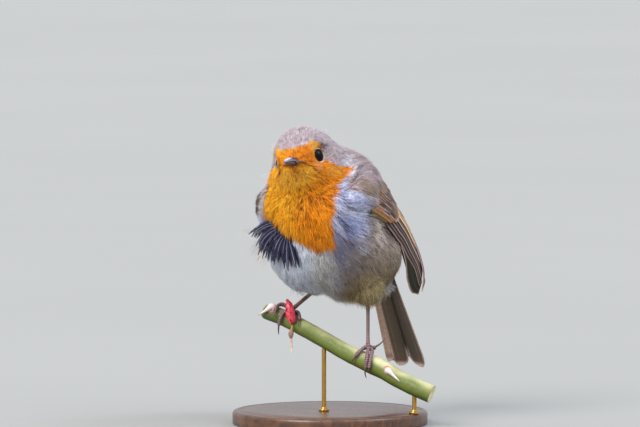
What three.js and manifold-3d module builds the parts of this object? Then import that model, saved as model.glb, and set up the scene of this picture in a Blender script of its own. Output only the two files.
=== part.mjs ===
// European robin (Erithacus rubecula), adult, life size, fluffed up and standing on a short cut length of
// green rose stem that two short rods hold over a flat round base.
// Millimetres. +Z up, origin at the centre of the base's underside, the bird facing -Y, its left side at +X.
import * as THREE from "three";
import { mergeVertices } from "three/addons/utils/BufferGeometryUtils.js";
import Module from "manifold-3d";

const wasm = await Module();
wasm.setup();

// ---------------------------------------------------------------- driving sizes
const GAP = 0.3; // clearance between neighbouring pieces
const CELL = { trunk: 4.45, neck: 3.7, head: 2.7, clearance: 3.9, thigh: 3.8 }; // facet sizes of the plumage surface

// Plumage outline of the body: ellipsoids [x, y, z], radii, pitch about X (deg), blend width.
const BODY = [
  { at: [0, -1, 82], r: [28.0, 30.5, 27.5], pitch: 0, blend: 0 }, // belly and flanks
  { at: [0, -9, 95], r: [25.0, 23.5, 20.5], pitch: 12, blend: 9 }, // breast
  { at: [0, 3, 104.5], r: [22.0, 18.5, 18.3], pitch: -20, blend: 9 }, // mantle and shoulders
  { at: [0, 13, 73], r: [24.0, 22.0, 18.0], pitch: -18, blend: 9 }, // rump and rear flanks
  { at: [0, 18.5, 88], r: [17.5, 12.5, 18.0], pitch: -28, blend: 9 }, // lower back
  { at: [0, 27, 74], r: [10.5, 10.5, 17.0], pitch: 24, blend: 9 }, // upper tail coverts
  { at: [0, 29.5, 63.5], r: [8.5, 8.5, 11.5], pitch: 22, blend: 8 }, // under tail coverts
  { at: [-1.0, -12.0, 112.5], r: [17.0, 14.5, 14.0], pitch: 25, blend: 8 }, // neck
];
const RUFFLE = { at: [-22.7, -19.4, 83.2], r: [4.3, 5.0, 6.0], blend: 6 }; // lifted feathers at the right of the breast
const THIGH = {
  left: { at: [16.2, 5.6, 60.0], r: [6.6, 7.4, 7.6], blend: 4 },
  right: { at: [-8.4, 0.0, 58.6], r: [4.8, 5.2, 5.6], blend: 4 },
};

// Head: centre, turn to the bird's left, sideways tilt, and its ellipsoids in head axes [left, forward, up].
const HEAD = {
  at: [0.25, -21.35, 119.35],
  turnDeg: 20,
  tiltDeg: 12,
  skull: { at: [0.4, -2.4, 0.3], r: [13.2, 12.9, 12.8] },
  face: { at: [0, 4.6, -1.6], r: [9.6, 9.4, 8.6], blend: 5 },
  lores: { at: [0, 8.6, -2.4], r: [5.2, 6.0, 4.6], blend: 4 },
  throat: { at: [0, 2.6, -9.0], r: [11.0, 10.5, 8.5], blend: 6 },
  socket: { at: [13.3, 6.0, -1.0], r: 4.9, blend: 2.6 },
};
const EYE = { forward: 3.2, side: 7.15, up: -1.55, radius: 3.7 };
const NECK_CUTS = { axis: [0, 0.59, -0.807], head: 10.0, trunk: 16.5 }; // distances from the head's centre

// Bill: stations [forward, half width, height, droop] of each half, from the base inside the feathers to the tip.
const BILL = {
  up: -2.6,
  upper: [
    [6.5, 3.5, 2.7, 0.0],
    [10.0, 3.5, 2.75, 0.1],
    [13.0, 3.05, 2.6, 0.25],
    [16.0, 2.45, 2.3, 0.45],
    [19.0, 1.85, 1.95, 0.6],
    [21.6, 1.3, 1.5, 0.65],
    [23.6, 0.78, 1.05, 0.5],
    [24.9, 0.3, 0.6, 0.2],
  ],
  lower: [
    [6.5, 3.2, 1.9, 0.0],
    [10.0, 3.0, 1.95, 0.1],
    [13.0, 2.6, 1.8, 0.25],
    [16.0, 1.9, 1.55, 0.45],
    [19.0, 1.45, 1.25, 0.6],
    [21.6, 0.95, 0.9, 0.65],
    [23.6, 0.35, 0.5, 0.5],
  ],
};

// Folded left wing: lower (leading) edge, upper (trailing) edge, outward bulge, thickness. The right wing mirrors it.
const WING = [
  { low: [25.0, -17.0, 101.0], high: [23.0, -12.5, 105.5], bulge: 0.6, thick: 1.6 },
  { low: [26.6, -12.6, 98.6], high: [20.8, -2.2, 113.2], bulge: 2.2, thick: 4.6 },
  { low: [27.8, -5.6, 94.3], high: [17.8, 7.4, 113.0], bulge: 3.4, thick: 5.6 },
  { low: [28.4, 2.2, 89.5], high: [18.3, 13.9, 106.3], bulge: 3.3, thick: 5.4 },
  { low: [28.3, 9.2, 84.1], high: [20.2, 18.7, 98.4], bulge: 2.6, thick: 4.6 },
  { low: [27.2, 15.6, 78.0], high: [21.5, 25.2, 90.4], bulge: 2.1, thick: 3.4 },
  { low: [25.8, 21.3, 70.6], high: [22.0, 31.6, 81.7], bulge: 1.5, thick: 2.4 },
  { low: [24.2, 26.4, 63.7], high: [22.2, 36.8, 72.6], bulge: 1.1, thick: 1.7 },
  { low: [22.6, 31.0, 58.3], high: [21.8, 39.4, 64.5], bulge: 0.7, thick: 1.2 },
  { low: [21.5, 35.4, 55.3], high: [21.4, 38.6, 57.6], bulge: 0.25, thick: 0.9 },
];
const RIGHT_WING_LIFT = { out: 2.0, forward: 1.4, down: 4.5, fade: 6 }; // held off the body at the shoulder, none from this section on

// Tail: root, direction, half widths along its length, and the rounded notch between the two halves of the fan.
const TAIL = {
  root: [0.4, 32.3, 77.0],
  down: [0.026, 0.405, -0.914],
  length: 58.5,
  notch: 5.0,
  halfWidth: [
    [0.0, 5.2],
    [0.25, 6.4],
    [0.5, 8.0],
    [0.75, 9.8],
    [0.93, 11.2],
    [1.0, 9.4],
  ],
  thick: 1.9,
  camber: 1.6,
};

// Rose stem: centre line [x, y, z, radius] from the pruned end past the right foot to the cut end past the left foot.
const STEM = [
  [-24.8, -15.5, 49.9, 2.7],
  [-23.6, -15.1, 49.4, 3.45],
  [-19.98, -13.7, 48.2, 3.6],
  [-15.68, -12.09, 46.5, 3.6],
  [-7.04, -8.93, 42.1, 3.65],
  [1.6, -5.78, 37.4, 3.65],
  [10.26, -2.65, 32.5, 3.7],
  [14.57, -1.06, 30.4, 3.85],
  [19.72, 0.88, 28.2, 4.15],
  [23.16, 2.17, 26.6, 4.25],
  [27.5, 3.72, 24.5, 4.05],
  [31.84, 5.27, 21.9, 3.95],
  [36.15, 6.86, 19.7, 3.95],
  [40.46, 8.46, 17.7, 4.0],
  [44.76, 10.05, 15.9, 4.05],
  [47.3, 11.0, 14.8, 4.05],
];
const STEM_SIDES = 10;

// Legs: foot joint and heel joint, and shaft radii.
const LEG = {
  left: { foot: [19.8, 1.4, 35.6], heel: [16.1, 6.4, 58.6], r: 0.82 },
  right: { foot: [-13.9, -9.6, 50.3], heel: [-5.2, 5.6, 63.4], r: 0.82 },
};
const TOE_R = { root: 0.86, end: 0.66 };
const CLAW_R = { root: 0.56, tip: 0.25 };

const BASE = { r: 43, thick: 6, edge: 1.4, sides: 32 };
const ROD = { r: 1.0, at: [0.33, 0.86] }; // stations along the stem
// ---------------------------------------------------------------- small helpers
const V = (x, y, z) => new THREE.Vector3(x, y, z);
const v3 = (a) => V(a[0], a[1], a[2]);
const rad = THREE.MathUtils.degToRad;
const lerp = THREE.MathUtils.lerp;

// Head axes in the part's frame.
const turn = rad(HEAD.turnDeg),
  tilt = rad(HEAD.tiltDeg);
const headForward = V(Math.sin(turn), -Math.cos(turn), 0);
const level = V(Math.cos(turn), Math.sin(turn), 0);
const headLeft = level.clone().multiplyScalar(Math.cos(tilt)).add(V(0, 0, Math.sin(tilt)));
const headUp = V(0, 0, Math.cos(tilt)).add(level.clone().multiplyScalar(-Math.sin(tilt)));
const headCentre = v3(HEAD.at);
const headPoint = (left, forward, up) =>
  headCentre
    .clone()
    .addScaledVector(headLeft, left)
    .addScaledVector(headForward, forward)
    .addScaledVector(headUp, up);

// ---------------------------------------------------------------- the plumage surface as a distance-like field
const ellipsoid = (x, y, z, r) => {
  const a = x / r[0],
    b = y / r[1],
    c = z / r[2];
  const k0 = Math.hypot(a, b, c),
    k1 = Math.hypot(a / r[0], b / r[1], c / r[2]);
  return k1 < 1e-9 ? -Math.min(...r) : (k0 * (k0 - 1)) / k1;
};
const join = (a, b, k) => {
  if (!k) return Math.min(a, b);
  const h = Math.max(k - Math.abs(a - b), 0) / k;
  return Math.min(a, b) - (h * h * k) / 4;
};
const cut = (a, b, k) => -join(-a, b, k); // a without b
const body = (p) => {
  let d = 1e3;
  for (const e of BODY) {
    const x = p.x - e.at[0],
      y = p.y - e.at[1],
      z = p.z - e.at[2];
    const c = Math.cos(rad(e.pitch)),
      s = Math.sin(rad(e.pitch));
    d = join(d, ellipsoid(x, c * y + s * z, -s * y + c * z, e.r), e.blend);
  }
  return join(
    d,
    ellipsoid(p.x - RUFFLE.at[0], p.y - RUFFLE.at[1], p.z - RUFFLE.at[2], RUFFLE.r),
    RUFFLE.blend,
  );
};
const inHead = (p) => {
  const q = p.clone().sub(headCentre);
  return [q.dot(headLeft), q.dot(headForward), q.dot(headUp)];
};
const head = (p) => {
  const [l, f, u] = inHead(p);
  const part = (e) => ellipsoid(l - e.at[0], f - e.at[1], u - e.at[2], e.r);
  let d = part(HEAD.skull);
  for (const e of [HEAD.face, HEAD.lores, HEAD.throat]) d = join(d, part(e), e.blend);
  return d;
};
const sockets = (p, d) => {
  const [l, f, u] = inHead(p);
  const s = HEAD.socket;
  const ball = Math.hypot(Math.abs(l) - s.at[0], f - s.at[1], u - s.at[2]) - s.r;
  return cut(d, ball, s.blend);
};
const flesh = (p) => sockets(p, join(body(p), head(p), 7));
const thigh = (side) => (p) => {
  const t = THIGH[side];
  return ellipsoid(p.x - t.at[0], p.y - t.at[1], p.z - t.at[2], t.r);
};

// Closed faceted surface where field(p) = 0, as a three.js geometry.
function surfaceOf(field, low, high, cell) {
  const n = [0, 1, 2].map((i) => Math.ceil((high[i] - low[i]) / cell) + 1);
  const at = (i, j, k) => (k * n[1] + j) * n[0] + i;
  const value = new Float64Array(n[0] * n[1] * n[2]);
  const p = V(0, 0, 0);
  for (let k = 0; k < n[2]; k++)
    for (let j = 0; j < n[1]; j++)
      for (let i = 0; i < n[0]; i++)
        value[at(i, j, k)] = field(p.set(low[0] + i * cell, low[1] + j * cell, low[2] + k * cell));
  const cells = new Map(),
    points = [];
  const corner = [0, 1, 2, 3, 4, 5, 6, 7].map((c) => [c & 1, (c >> 1) & 1, c >> 2]);
  for (let k = 0; k < n[2] - 1; k++)
    for (let j = 0; j < n[1] - 1; j++)
      for (let i = 0; i < n[0] - 1; i++) {
        const f = corner.map(([a, b, c]) => value[at(i + a, j + b, k + c)]);
        const inside = f.filter((x) => x < 0).length;
        if (!inside || inside === 8) continue;
        const sum = V(0, 0, 0);
        let count = 0;
        for (let a = 0; a < 8; a++)
          for (const bit of [1, 2, 4]) {
            const b = a | bit;
            if (b === a || f[a] < 0 === f[b] < 0) continue;
            const t = f[a] / (f[a] - f[b]);
            const q = corner[a].map((x, m) => x + t * (corner[b][m] - x));
            sum.add(V(i + q[0], j + q[1], k + q[2]));
            count++;
          }
        const q = sum.divideScalar(count).multiplyScalar(cell).add(v3(low));
        for (let step = 0; step < 3; step++) {
          const h = 0.05,
            d = field(q);
          const g = V(
            field(V(q.x + h, q.y, q.z)) - field(V(q.x - h, q.y, q.z)),
            field(V(q.x, q.y + h, q.z)) - field(V(q.x, q.y - h, q.z)),
            field(V(q.x, q.y, q.z + h)) - field(V(q.x, q.y, q.z - h)),
          ).divideScalar(2 * h);
          q.addScaledVector(g, -d / Math.max(g.lengthSq(), 0.05));
        }
        cells.set(at(i, j, k), points.length);
        points.push(q);
      }
  const faces = [];
  const quad = (a, b, c, d, flip) => {
    const [A, B, C, D] = [a, b, c, d].map((x) => points[x]);
    const two =
      A.distanceTo(C) < B.distanceTo(D)
        ? [
            [a, b, c],
            [a, c, d],
          ]
        : [
            [a, b, d],
            [b, c, d],
          ];
    for (const t of two) faces.push(...(flip ? [t[0], t[2], t[1]] : t));
  };
  for (let k = 1; k < n[2] - 1; k++)
    for (let j = 1; j < n[1] - 1; j++)
      for (let i = 1; i < n[0] - 1; i++) {
        const here = value[at(i, j, k)] < 0;
        const c = (a, b, d) => cells.get(at(i - a, j - b, k - d));
        if (here !== value[at(i + 1, j, k)] < 0)
          quad(c(0, 0, 0), c(0, 1, 0), c(0, 1, 1), c(0, 0, 1), !here);
        if (here !== value[at(i, j + 1, k)] < 0)
          quad(c(0, 0, 0), c(0, 0, 1), c(1, 0, 1), c(1, 0, 0), !here);
        if (here !== value[at(i, j, k + 1)] < 0)
          quad(c(0, 0, 0), c(1, 0, 0), c(1, 1, 0), c(0, 1, 0), !here);
      }
  const g = new THREE.BufferGeometry();
  g.setAttribute(
    "position",
    new THREE.BufferAttribute(new Float32Array(points.flatMap((q) => [q.x, q.y, q.z])), 3),
  );
  g.setIndex(faces);
  return g;
}

// Closed surface through rings of points, with a fan at each end.
function loft(rings) {
  const m = rings[0].length;
  const points = rings.flat();
  const faces = [];
  for (let i = 0; i + 1 < rings.length; i++)
    for (let j = 0; j < m; j++) {
      const a = i * m + j,
        b = i * m + ((j + 1) % m);
      faces.push(a, b, b + m, a, b + m, a + m);
    }
  for (const [k, flip] of [
    [0, true],
    [rings.length - 1, false],
  ]) {
    const middle = rings[k].reduce((s, q) => s.add(q), V(0, 0, 0)).divideScalar(m);
    const c = points.push(middle) - 1;
    for (let j = 0; j < m; j++) {
      const a = k * m + j,
        b = k * m + ((j + 1) % m);
      faces.push(...(flip ? [c, b, a] : [c, a, b]));
    }
  }
  const g = new THREE.BufferGeometry();
  g.setAttribute(
    "position",
    new THREE.BufferAttribute(new Float32Array(points.flatMap((q) => [q.x, q.y, q.z])), 3),
  );
  g.setIndex(faces);
  return g;
}

// Tube of changing radius along a curve through points.
function tube(points, radii, sides, steps, grow = 0) {
  const curve = new THREE.CatmullRomCurve3(points, false, "centripetal");
  const rings = [];
  let side = null;
  for (let i = 0; i <= steps; i++) {
    const t = i / steps;
    const c = curve.getPoint(t),
      d = curve.getTangent(t);
    if (!side) side = Math.abs(d.z) > 0.8 ? V(1, 0, 0) : V(0, 0, 1);
    side = side.clone().addScaledVector(d, -side.dot(d)).normalize();
    const other = d.clone().cross(side);
    const x = t * (radii.length - 1),
      a = Math.min(Math.floor(x), radii.length - 2);
    const r = lerp(radii[a], radii[a + 1], x - a) + grow;
    const end = i === 0 ? -grow : i === steps ? grow : 0;
    rings.push(
      Array.from({ length: sides }, (_, j) => {
        const f = (j / sides) * 2 * Math.PI;
        return c
          .clone()
          .addScaledVector(d, end)
          .addScaledVector(side, r * Math.cos(f))
          .addScaledVector(other, r * Math.sin(f));
      }),
    );
  }
  return loft(rings);
}

function solid(geometry) {
  const g = (geometry.index ? geometry.toNonIndexed() : geometry.clone()).clone();
  g.deleteAttribute("normal");
  g.deleteAttribute("uv");
  const m = mergeVertices(g, 1e-4);
  const make = (index) =>
    new wasm.Manifold(
      new wasm.Mesh({
        numProp: 3,
        vertProperties: new Float32Array(m.attributes.position.array),
        triVerts: new Uint32Array(index),
      }),
    );
  const made = make(m.index.array);
  if (made.volume() > 0) return made;
  const back = Array.from(m.index.array);
  for (let i = 0; i < back.length; i += 3) [back[i + 1], back[i + 2]] = [back[i + 2], back[i + 1]];
  return make(back);
}
const largest = (s) => s.decompose().sort((a, b) => b.volume() - a.volume())[0];
function geometryOf(s) {
  const m = s.getMesh();
  const n = m.numProp,
    v = new Float32Array(m.numVert * 3);
  for (let i = 0; i < m.numVert; i++) v.set(m.vertProperties.subarray(i * n, i * n + 3), i * 3);
  const g = new THREE.BufferGeometry();
  g.setAttribute("position", new THREE.BufferAttribute(v, 3));
  g.setIndex(new THREE.BufferAttribute(new Uint32Array(m.triVerts), 1));
  g.computeVertexNormals();
  return g;
}
// Everything on the far side of a plane: a box whose near face is the plane.
function halfSpace(point, normal) {
  const size = 400;
  const g = new THREE.BoxGeometry(size, size, size);
  const q = new THREE.Quaternion().setFromUnitVectors(V(0, 0, 1), normal.clone().normalize());
  g.translate(0, 0, size / 2);
  g.applyQuaternion(q);
  g.translate(point.x, point.y, point.z);
  return solid(g);
}

// ---------------------------------------------------------------- finishes
const finish = (color, roughness = 0.8, metalness = 0) =>
  new THREE.MeshStandardMaterial({ color, roughness, metalness });
const COLOURS = {
  orange: finish(0xe08a1e),
  grey: finish(0x8d8688),
  belly: finish(0xc9c3bb),
  brown: finish(0x6f5d4e),
  bill: finish(0x3a3436, 0.45),
  eye: finish(0x0b0908, 0.08),
  leg: finish(0x6b4a44, 0.55),
  claw: finish(0x3b2f2d, 0.4),
  stem: finish(0x8fa354, 0.5),
  thorn: finish(0xe0b9a8, 0.5),
  bud: finish(0xc62f3c, 0.5),
  dry: finish(0x9a7a62, 0.8),
  wood: finish(0x4a3020, 0.4),
  brass: finish(0xb8924a, 0.3, 1),
};

const robin = new THREE.Group();
function add(name, shape, material) {
  const mesh = new THREE.Mesh(shape.isBufferGeometry ? shape : geometryOf(shape), material);
  mesh.name = name;
  robin.add(mesh);
  return mesh;
}

// ---------------------------------------------------------------- trunk, neck, head
const box = { low: [-40, -52, 42], high: [40, 56, 140] };
const bodyAt = (cell, grow = 0) =>
  solid(surfaceOf((p) => flesh(p) - grow, box.low, box.high, cell));
const cutAxis = v3(NECK_CUTS.axis).normalize();
const planeAt = (d) => headCentre.clone().addScaledVector(cutAxis, d);
const below = (d) => halfSpace(planeAt(d), cutAxis);
const above = (d) => halfSpace(planeAt(d), cutAxis.clone().negate());
const fatBody = bodyAt(CELL.clearance, GAP + 0.2);
const trunk = bodyAt(CELL.trunk).intersect(below(NECK_CUTS.trunk + GAP / 2));
const neck = bodyAt(CELL.neck)
  .intersect(above(NECK_CUTS.trunk - GAP / 2))
  .intersect(below(NECK_CUTS.head + GAP / 2));
const eyeBall = (side, grow = 0) => {
  const g = new THREE.SphereGeometry(EYE.radius + grow, 12, 9);
  const c = headPoint(side * EYE.side, EYE.forward, EYE.up);
  g.translate(c.x, c.y, c.z);
  return solid(g);
};
let headPiece = bodyAt(CELL.head).intersect(above(NECK_CUTS.head - GAP / 2));
for (const side of [1, -1]) headPiece = headPiece.subtract(eyeBall(side, GAP));

// Bill halves in head axes, each a ring of points from a flat cutting edge to a rounded back.
function billHalf(stations, way, grow = 0) {
  const rings = stations.map(([forward, halfWidth, height, droop], i) => {
    const f = forward + (i === 0 ? -grow : i === stations.length - 1 ? grow : 0);
    const ring = [];
    const n = 7;
    for (let j = 0; j <= n; j++) {
      const a = (j / n) * Math.PI;
      ring.push([
        (halfWidth + grow) * Math.cos(a),
        way * (0.16 - grow + (height + 2 * grow) * Math.pow(Math.sin(a), 0.8)),
      ]);
    }
    for (const x of [-0.4, 0.4]) ring.push([x * halfWidth, way * (0.16 - grow)]);
    return ring.map(([x, up]) => headPoint(x, f, BILL.up + droop + up));
  });
  return solid(loft(rings));
}
const headFat = fatBody.intersect(above(NECK_CUTS.head - 2));
const billUpper = largest(billHalf(BILL.upper, 1).subtract(headFat));
const billLower = largest(billHalf(BILL.lower, -1).subtract(headFat));

add("trunk", largest(trunk), COLOURS.belly);
add("neck", largest(neck), COLOURS.orange);
add("head", largest(headPiece), COLOURS.grey);
add("bill_upper", billUpper, COLOURS.bill);
add("bill_lower", billLower, COLOURS.bill);
add("eye_left", eyeBall(1), COLOURS.eye);
add("eye_right", eyeBall(-1), COLOURS.eye);

// ---------------------------------------------------------------- wings
const mirror = (q, side) => V(side * q.x, q.y, q.z);
function wingSolid(side, grow = 0) {
  const across = 6;
  const middle = V(0, 2, 84);
  const rings = WING.map((s, i) => {
    const low = v3(s.low),
      high = v3(s.high);
    const chord = high.clone().sub(low);
    const before = WING[Math.max(i - 1, 0)],
      after = WING[Math.min(i + 1, WING.length - 1)];
    const along = v3(after.low).add(v3(after.high)).sub(v3(before.low)).sub(v3(before.high)).normalize();
    const out = chord.clone().cross(along).normalize();
    if (out.dot(low.clone().sub(middle)) < 0) out.negate();
    const end = (i === 0 ? -1 : i === WING.length - 1 ? 1 : 0) * grow;
    const point = (t, way) => {
      const arch = 1 - Math.pow(Math.abs(2 * t - 1), 2.2);
      const q = low.clone().addScaledVector(chord, t);
      q.addScaledVector(chord.clone().normalize(), (2 * t - 1) * grow);
      q.addScaledVector(along, end);
      const edge = 0.28 + 0.72 * Math.sqrt(Math.max(0, 1 - Math.pow(2 * t - 1, 2)));
      const outer = s.bulge * arch + grow;
      return q.addScaledVector(out, way > 0 ? outer : outer - 2 * grow - s.thick * edge);
    };
    const ring = [];
    for (let j = 0; j <= across; j++) ring.push(point(j / across, 1));
    for (let j = across; j >= 0; j--) ring.push(point(j / across, -1));
    const lift = side < 0 ? Math.max(0, 1 - i / RIGHT_WING_LIFT.fade) : 0;
    return ring.map((q) =>
      mirror(
        q.add(V(RIGHT_WING_LIFT.out, -RIGHT_WING_LIFT.forward, -RIGHT_WING_LIFT.down).multiplyScalar(lift)),
        side,
      ),
    );
  });
  return solid(loft(rings));
}
const wings = {};
for (const [name, side] of [
  ["left", 1],
  ["right", -1],
]) {
  wings[name] = largest(wingSolid(side).subtract(fatBody));
  add("wing_" + name, wings[name], COLOURS.brown);
}

// ---------------------------------------------------------------- tail
function tailSolid() {
  const down = v3(TAIL.down).normalize();
  const right = V(1, 0, 0);
  const back = right.clone().cross(down).normalize(); // away from the back of the bird
  if (back.y < 0) back.negate();
  const width = (t) => {
    const w = TAIL.halfWidth;
    let i = 0;
    while (i < w.length - 2 && t > w[i + 1][0]) i++;
    return lerp(w[i][1], w[i + 1][1], (t - w[i][0]) / (w[i + 1][0] - w[i][0]));
  };
  const across = 10,
    rows = 8;
  const rings = [];
  for (let i = 0; i <= rows; i++) {
    const t = i / rows;
    const upper = [],
      lower = [];
    for (let j = 0; j <= across; j++) {
      const s = (2 * j) / across - 1;
      // each half of the fan ends in a rounded point, with the notch between them
      const lobe = 1 - Math.pow(Math.abs(Math.abs(s) - 0.6) / 0.6, 2.2);
      const reach = TAIL.length * t - (1 - lobe) * TAIL.notch * Math.pow(t, 6);
      const q = v3(TAIL.root)
        .addScaledVector(down, reach)
        .addScaledVector(right, s * width(t))
        .addScaledVector(back, -TAIL.camber * s * s * (0.4 + 0.6 * t));
      const th = (TAIL.thick / 2) * (1 - 0.45 * t) * (0.65 + 0.35 * Math.sqrt(1 - s * s));
      upper.push(q.clone().addScaledVector(back, th));
      lower.push(q.clone().addScaledVector(back, -th));
    }
    rings.push([...upper, ...lower.reverse()]);
  }
  return solid(loft(rings));
}
const tail = largest(tailSolid().subtract(fatBody));
add("tail", tail, COLOURS.brown);

// ---------------------------------------------------------------- rose stem
const stemPoints = STEM.map(v3);
const stemCurve = new THREE.CatmullRomCurve3(stemPoints, false, "centripetal");
const stemRadius = (t) => {
  const x = t * (STEM.length - 1),
    a = Math.min(Math.floor(x), STEM.length - 2);
  return lerp(STEM[a][3], STEM[a + 1][3], x - a);
};
const stem = (grow = 0) =>
  solid(
    tube(
      stemPoints,
      STEM.map((s) => s[3]),
      STEM_SIDES,
      STEM.length - 1,
      grow,
    ),
  );
const stemSolid = stem();
const stemFat = stem(GAP + 0.12);
// A point around the stem at parameter t: angle 0 on top, 90 towards the bird's front, radial height above the bark.
function onStem(t, angleDeg, height) {
  const c = stemCurve.getPoint(t),
    d = stemCurve.getTangent(t);
  const front = V(d.y, -d.x, 0).normalize();
  if (front.y > 0) front.negate();
  const up = front.clone().cross(d).normalize();
  if (up.z < 0) up.negate();
  const a = rad(angleDeg),
    r = stemRadius(t) + height;
  return c.addScaledVector(up, r * Math.cos(a)).addScaledVector(front, r * Math.sin(a));
}
// Parameter of the stem nearest to a point, by x.
function stemAt(x) {
  let lo = 0,
    hi = 1;
  for (let i = 0; i < 40; i++) {
    const m = (lo + hi) / 2;
    if (stemCurve.getPoint(m).x < x) lo = m;
    else hi = m;
  }
  return (lo + hi) / 2;
}
add("perch_stem", stemSolid, COLOURS.stem);

// Thorns: from a root on the bark, bent to a sharp tip.
const THORNS = {
  perch_thorn_1: { x: -20.9, angle: 40, tip: [-23.9, -20.9, 48.0], r: 1.75 },
  perch_thorn_2: { x: 28.8, angle: 66, tip: [36.9, 2.5, 20.0], r: 1.9 },
};
function thorn({ x, angle, tip, r }, grow = 0) {
  const t = stemAt(x);
  const root = onStem(t, angle, -1.2),
    lift = onStem(t, angle, 1.7);
  const end = v3(tip);
  const mid = lift.clone().lerp(end, 0.38);
  return solid(
    tube([root, lift.clone().lerp(mid, 0.35), mid, end], [r * 1.1, r, r * 0.62, 0.25], 7, 6, grow),
  );
}
for (const [name, t] of Object.entries(THORNS))
  add(name, largest(thorn(t).subtract(stemFat)), COLOURS.thorn);

// ---------------------------------------------------------------- legs, toes and claws
// Toes as stations around the stem: [x along the stem, angle, height above the bark], then the claw's. The left
// hind toe lies clear behind the stem, so its stations are plain points.
const TOES = {
  left_1: {
    path: [V(19.62, 2.4, 35.0), V(19.27, 4.4, 34.5), V(19.1, 6.9, 34.1)],
    claw: [V(19.03, 7.4, 34.25), V(19.08, 11.24, 35.45), V(19.58, 14.95, 37.73)],
  },
  left_2: {
    path: [[17.6, 0, 2.4], [16.5, 26, 1.4], [16.0, 50, 1.0], [15.57, 72, 0.9]],
    claw: [[15.5, 77, 0.9], [15.25, 95, 1.2], [14.96, 114, 0.8]],
  },
  left_3: {
    path: [[18.7, 20, 2.2], [19.4, 44, 1.25], [20.3, 73, 1.05], [21.04, 106, 1.0]],
    claw: [[21.12, 111, 1.1], [21.6, 131, 1.9], [22.5, 151, 2.5]],
  },
  left_4: {
    path: [[20.2, 16, 1.9], [20.75, 37, 1.15], [21.6, 71, 1.05], [22.2, 96, 1.0]],
    claw: [[22.27, 101, 1.0], [22.5, 114, 1.35], [22.7, 130, 0.9]],
  },
  right_1: {
    path: [[-13.4, -36, 1.1], [-12.7, -72, 0.95], [-12.2, -112, 0.95]],
    claw: [[-12.15, -120, 1.0], [-12.1, -142, 1.45], [-12.0, -164, 1.15]],
  },
  right_2: {
    path: [[-12.2, -4, 1.1], [-10.9, 18, 1.0], [-9.95, 44, 0.9]],
    claw: [[-9.85, 49, 0.9], [-9.3, 66, 1.25], [-9.06, 82, 0.8]],
  },
  right_3: {
    path: [[-15.3, 30, 1.25], [-16.26, 58, 1.2], [-16.4, 89, 1.15], [-16.1, 122, 1.5]],
    claw: [[-16.05, 127, 1.7], [-15.5, 147, 2.9], [-14.9, 157, 4.0]],
  },
  right_4: {
    path: [[-16.2, -6, 1.4], [-18.6, 2, 1.75], [-19.6, 32, 1.4], [-19.3, 58, 1.3]],
    claw: [[-19.2, 63, 1.3], [-18.95, 80, 1.4], [-18.5, 96, 0.85]],
  },
};
const FEET = {};
for (const side of ["left", "right"]) {
  const leg = LEG[side];
  const foot = v3(leg.foot),
    heel = v3(leg.heel);
  const dir = foot.clone().sub(heel).normalize();
  const pts = [
    heel.clone().addScaledVector(dir, -3),
    heel.clone().lerp(foot, 0.3),
    heel.clone().lerp(foot, 0.8),
    foot.clone(),
    foot.clone().addScaledVector(dir, 0.9),
  ];
  const radii = [1.15, 1.0, 0.78, 0.76, 0.9, 1.45, 1.15];
  FEET[side] = {
    shaft: (grow) => solid(tube(pts, radii, 7, 8, grow)),
  };
}
// Thighs: feathered, under the trunk.
const thighs = {};
for (const side of ["left", "right"]) {
  const t = THIGH[side];
  const low = t.at.map((x, i) => x - t.r[i] - 2 * CELL.thigh),
    high = t.at.map((x, i) => x + t.r[i] + 2 * CELL.thigh);
  thighs[side] = {
    piece: solid(surfaceOf(thigh(side), low, high, CELL.thigh)),
    fat: solid(surfaceOf((p) => thigh(side)(p) - GAP, low, high, CELL.thigh)),
  };
  const piece = thighs[side].piece.subtract(fatBody);
  add("thigh_" + side, largest(piece), COLOURS.belly);
}
const station = (q) => (q.isVector3 ? q.clone() : onStem(stemAt(q[0]), q[1], q[2]));
const toe = (k, grow) => {
  const pts = TOES[k].path.map(station);
  return solid(
    tube(pts, [TOE_R.root, TOE_R.root * 0.86, TOE_R.root * 0.92, TOE_R.end], 6, Math.ceil(pts.length * 1.5), grow),
  );
};
const claw = (k, grow) => {
  const pts = TOES[k].claw.map(station);
  return solid(tube(pts, [CLAW_R.root, CLAW_R.root * 0.8, CLAW_R.tip], 5, 4, grow));
};
for (const side of ["left", "right"]) {
  const shaft = largest(
    FEET[side]
      .shaft(0)
      .subtract(fatBody)
      .subtract(thighs[side].fat)
      .subtract(stemFat),
  );
  add("tarsus_" + side, shaft, COLOURS.leg);
  const taken = [FEET[side].shaft(GAP), stemFat];
  for (const t of Object.values(THORNS)) taken.push(thorn(t, GAP));
  for (const n of [3, 2, 4, 1]) {
    const k = side + "_" + n;
    let piece = toe(k, 0);
    for (const t of taken) piece = piece.subtract(t);
    add("toe_" + k, largest(piece), COLOURS.leg);
    taken.push(toe(k, GAP));
    let nail = claw(k, 0);
    for (const t of taken) nail = nail.subtract(t);
    add("claw_" + k, largest(nail), COLOURS.claw);
    taken.push(claw(k, GAP));
  }
  FEET[side].taken = taken;
}

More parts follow.
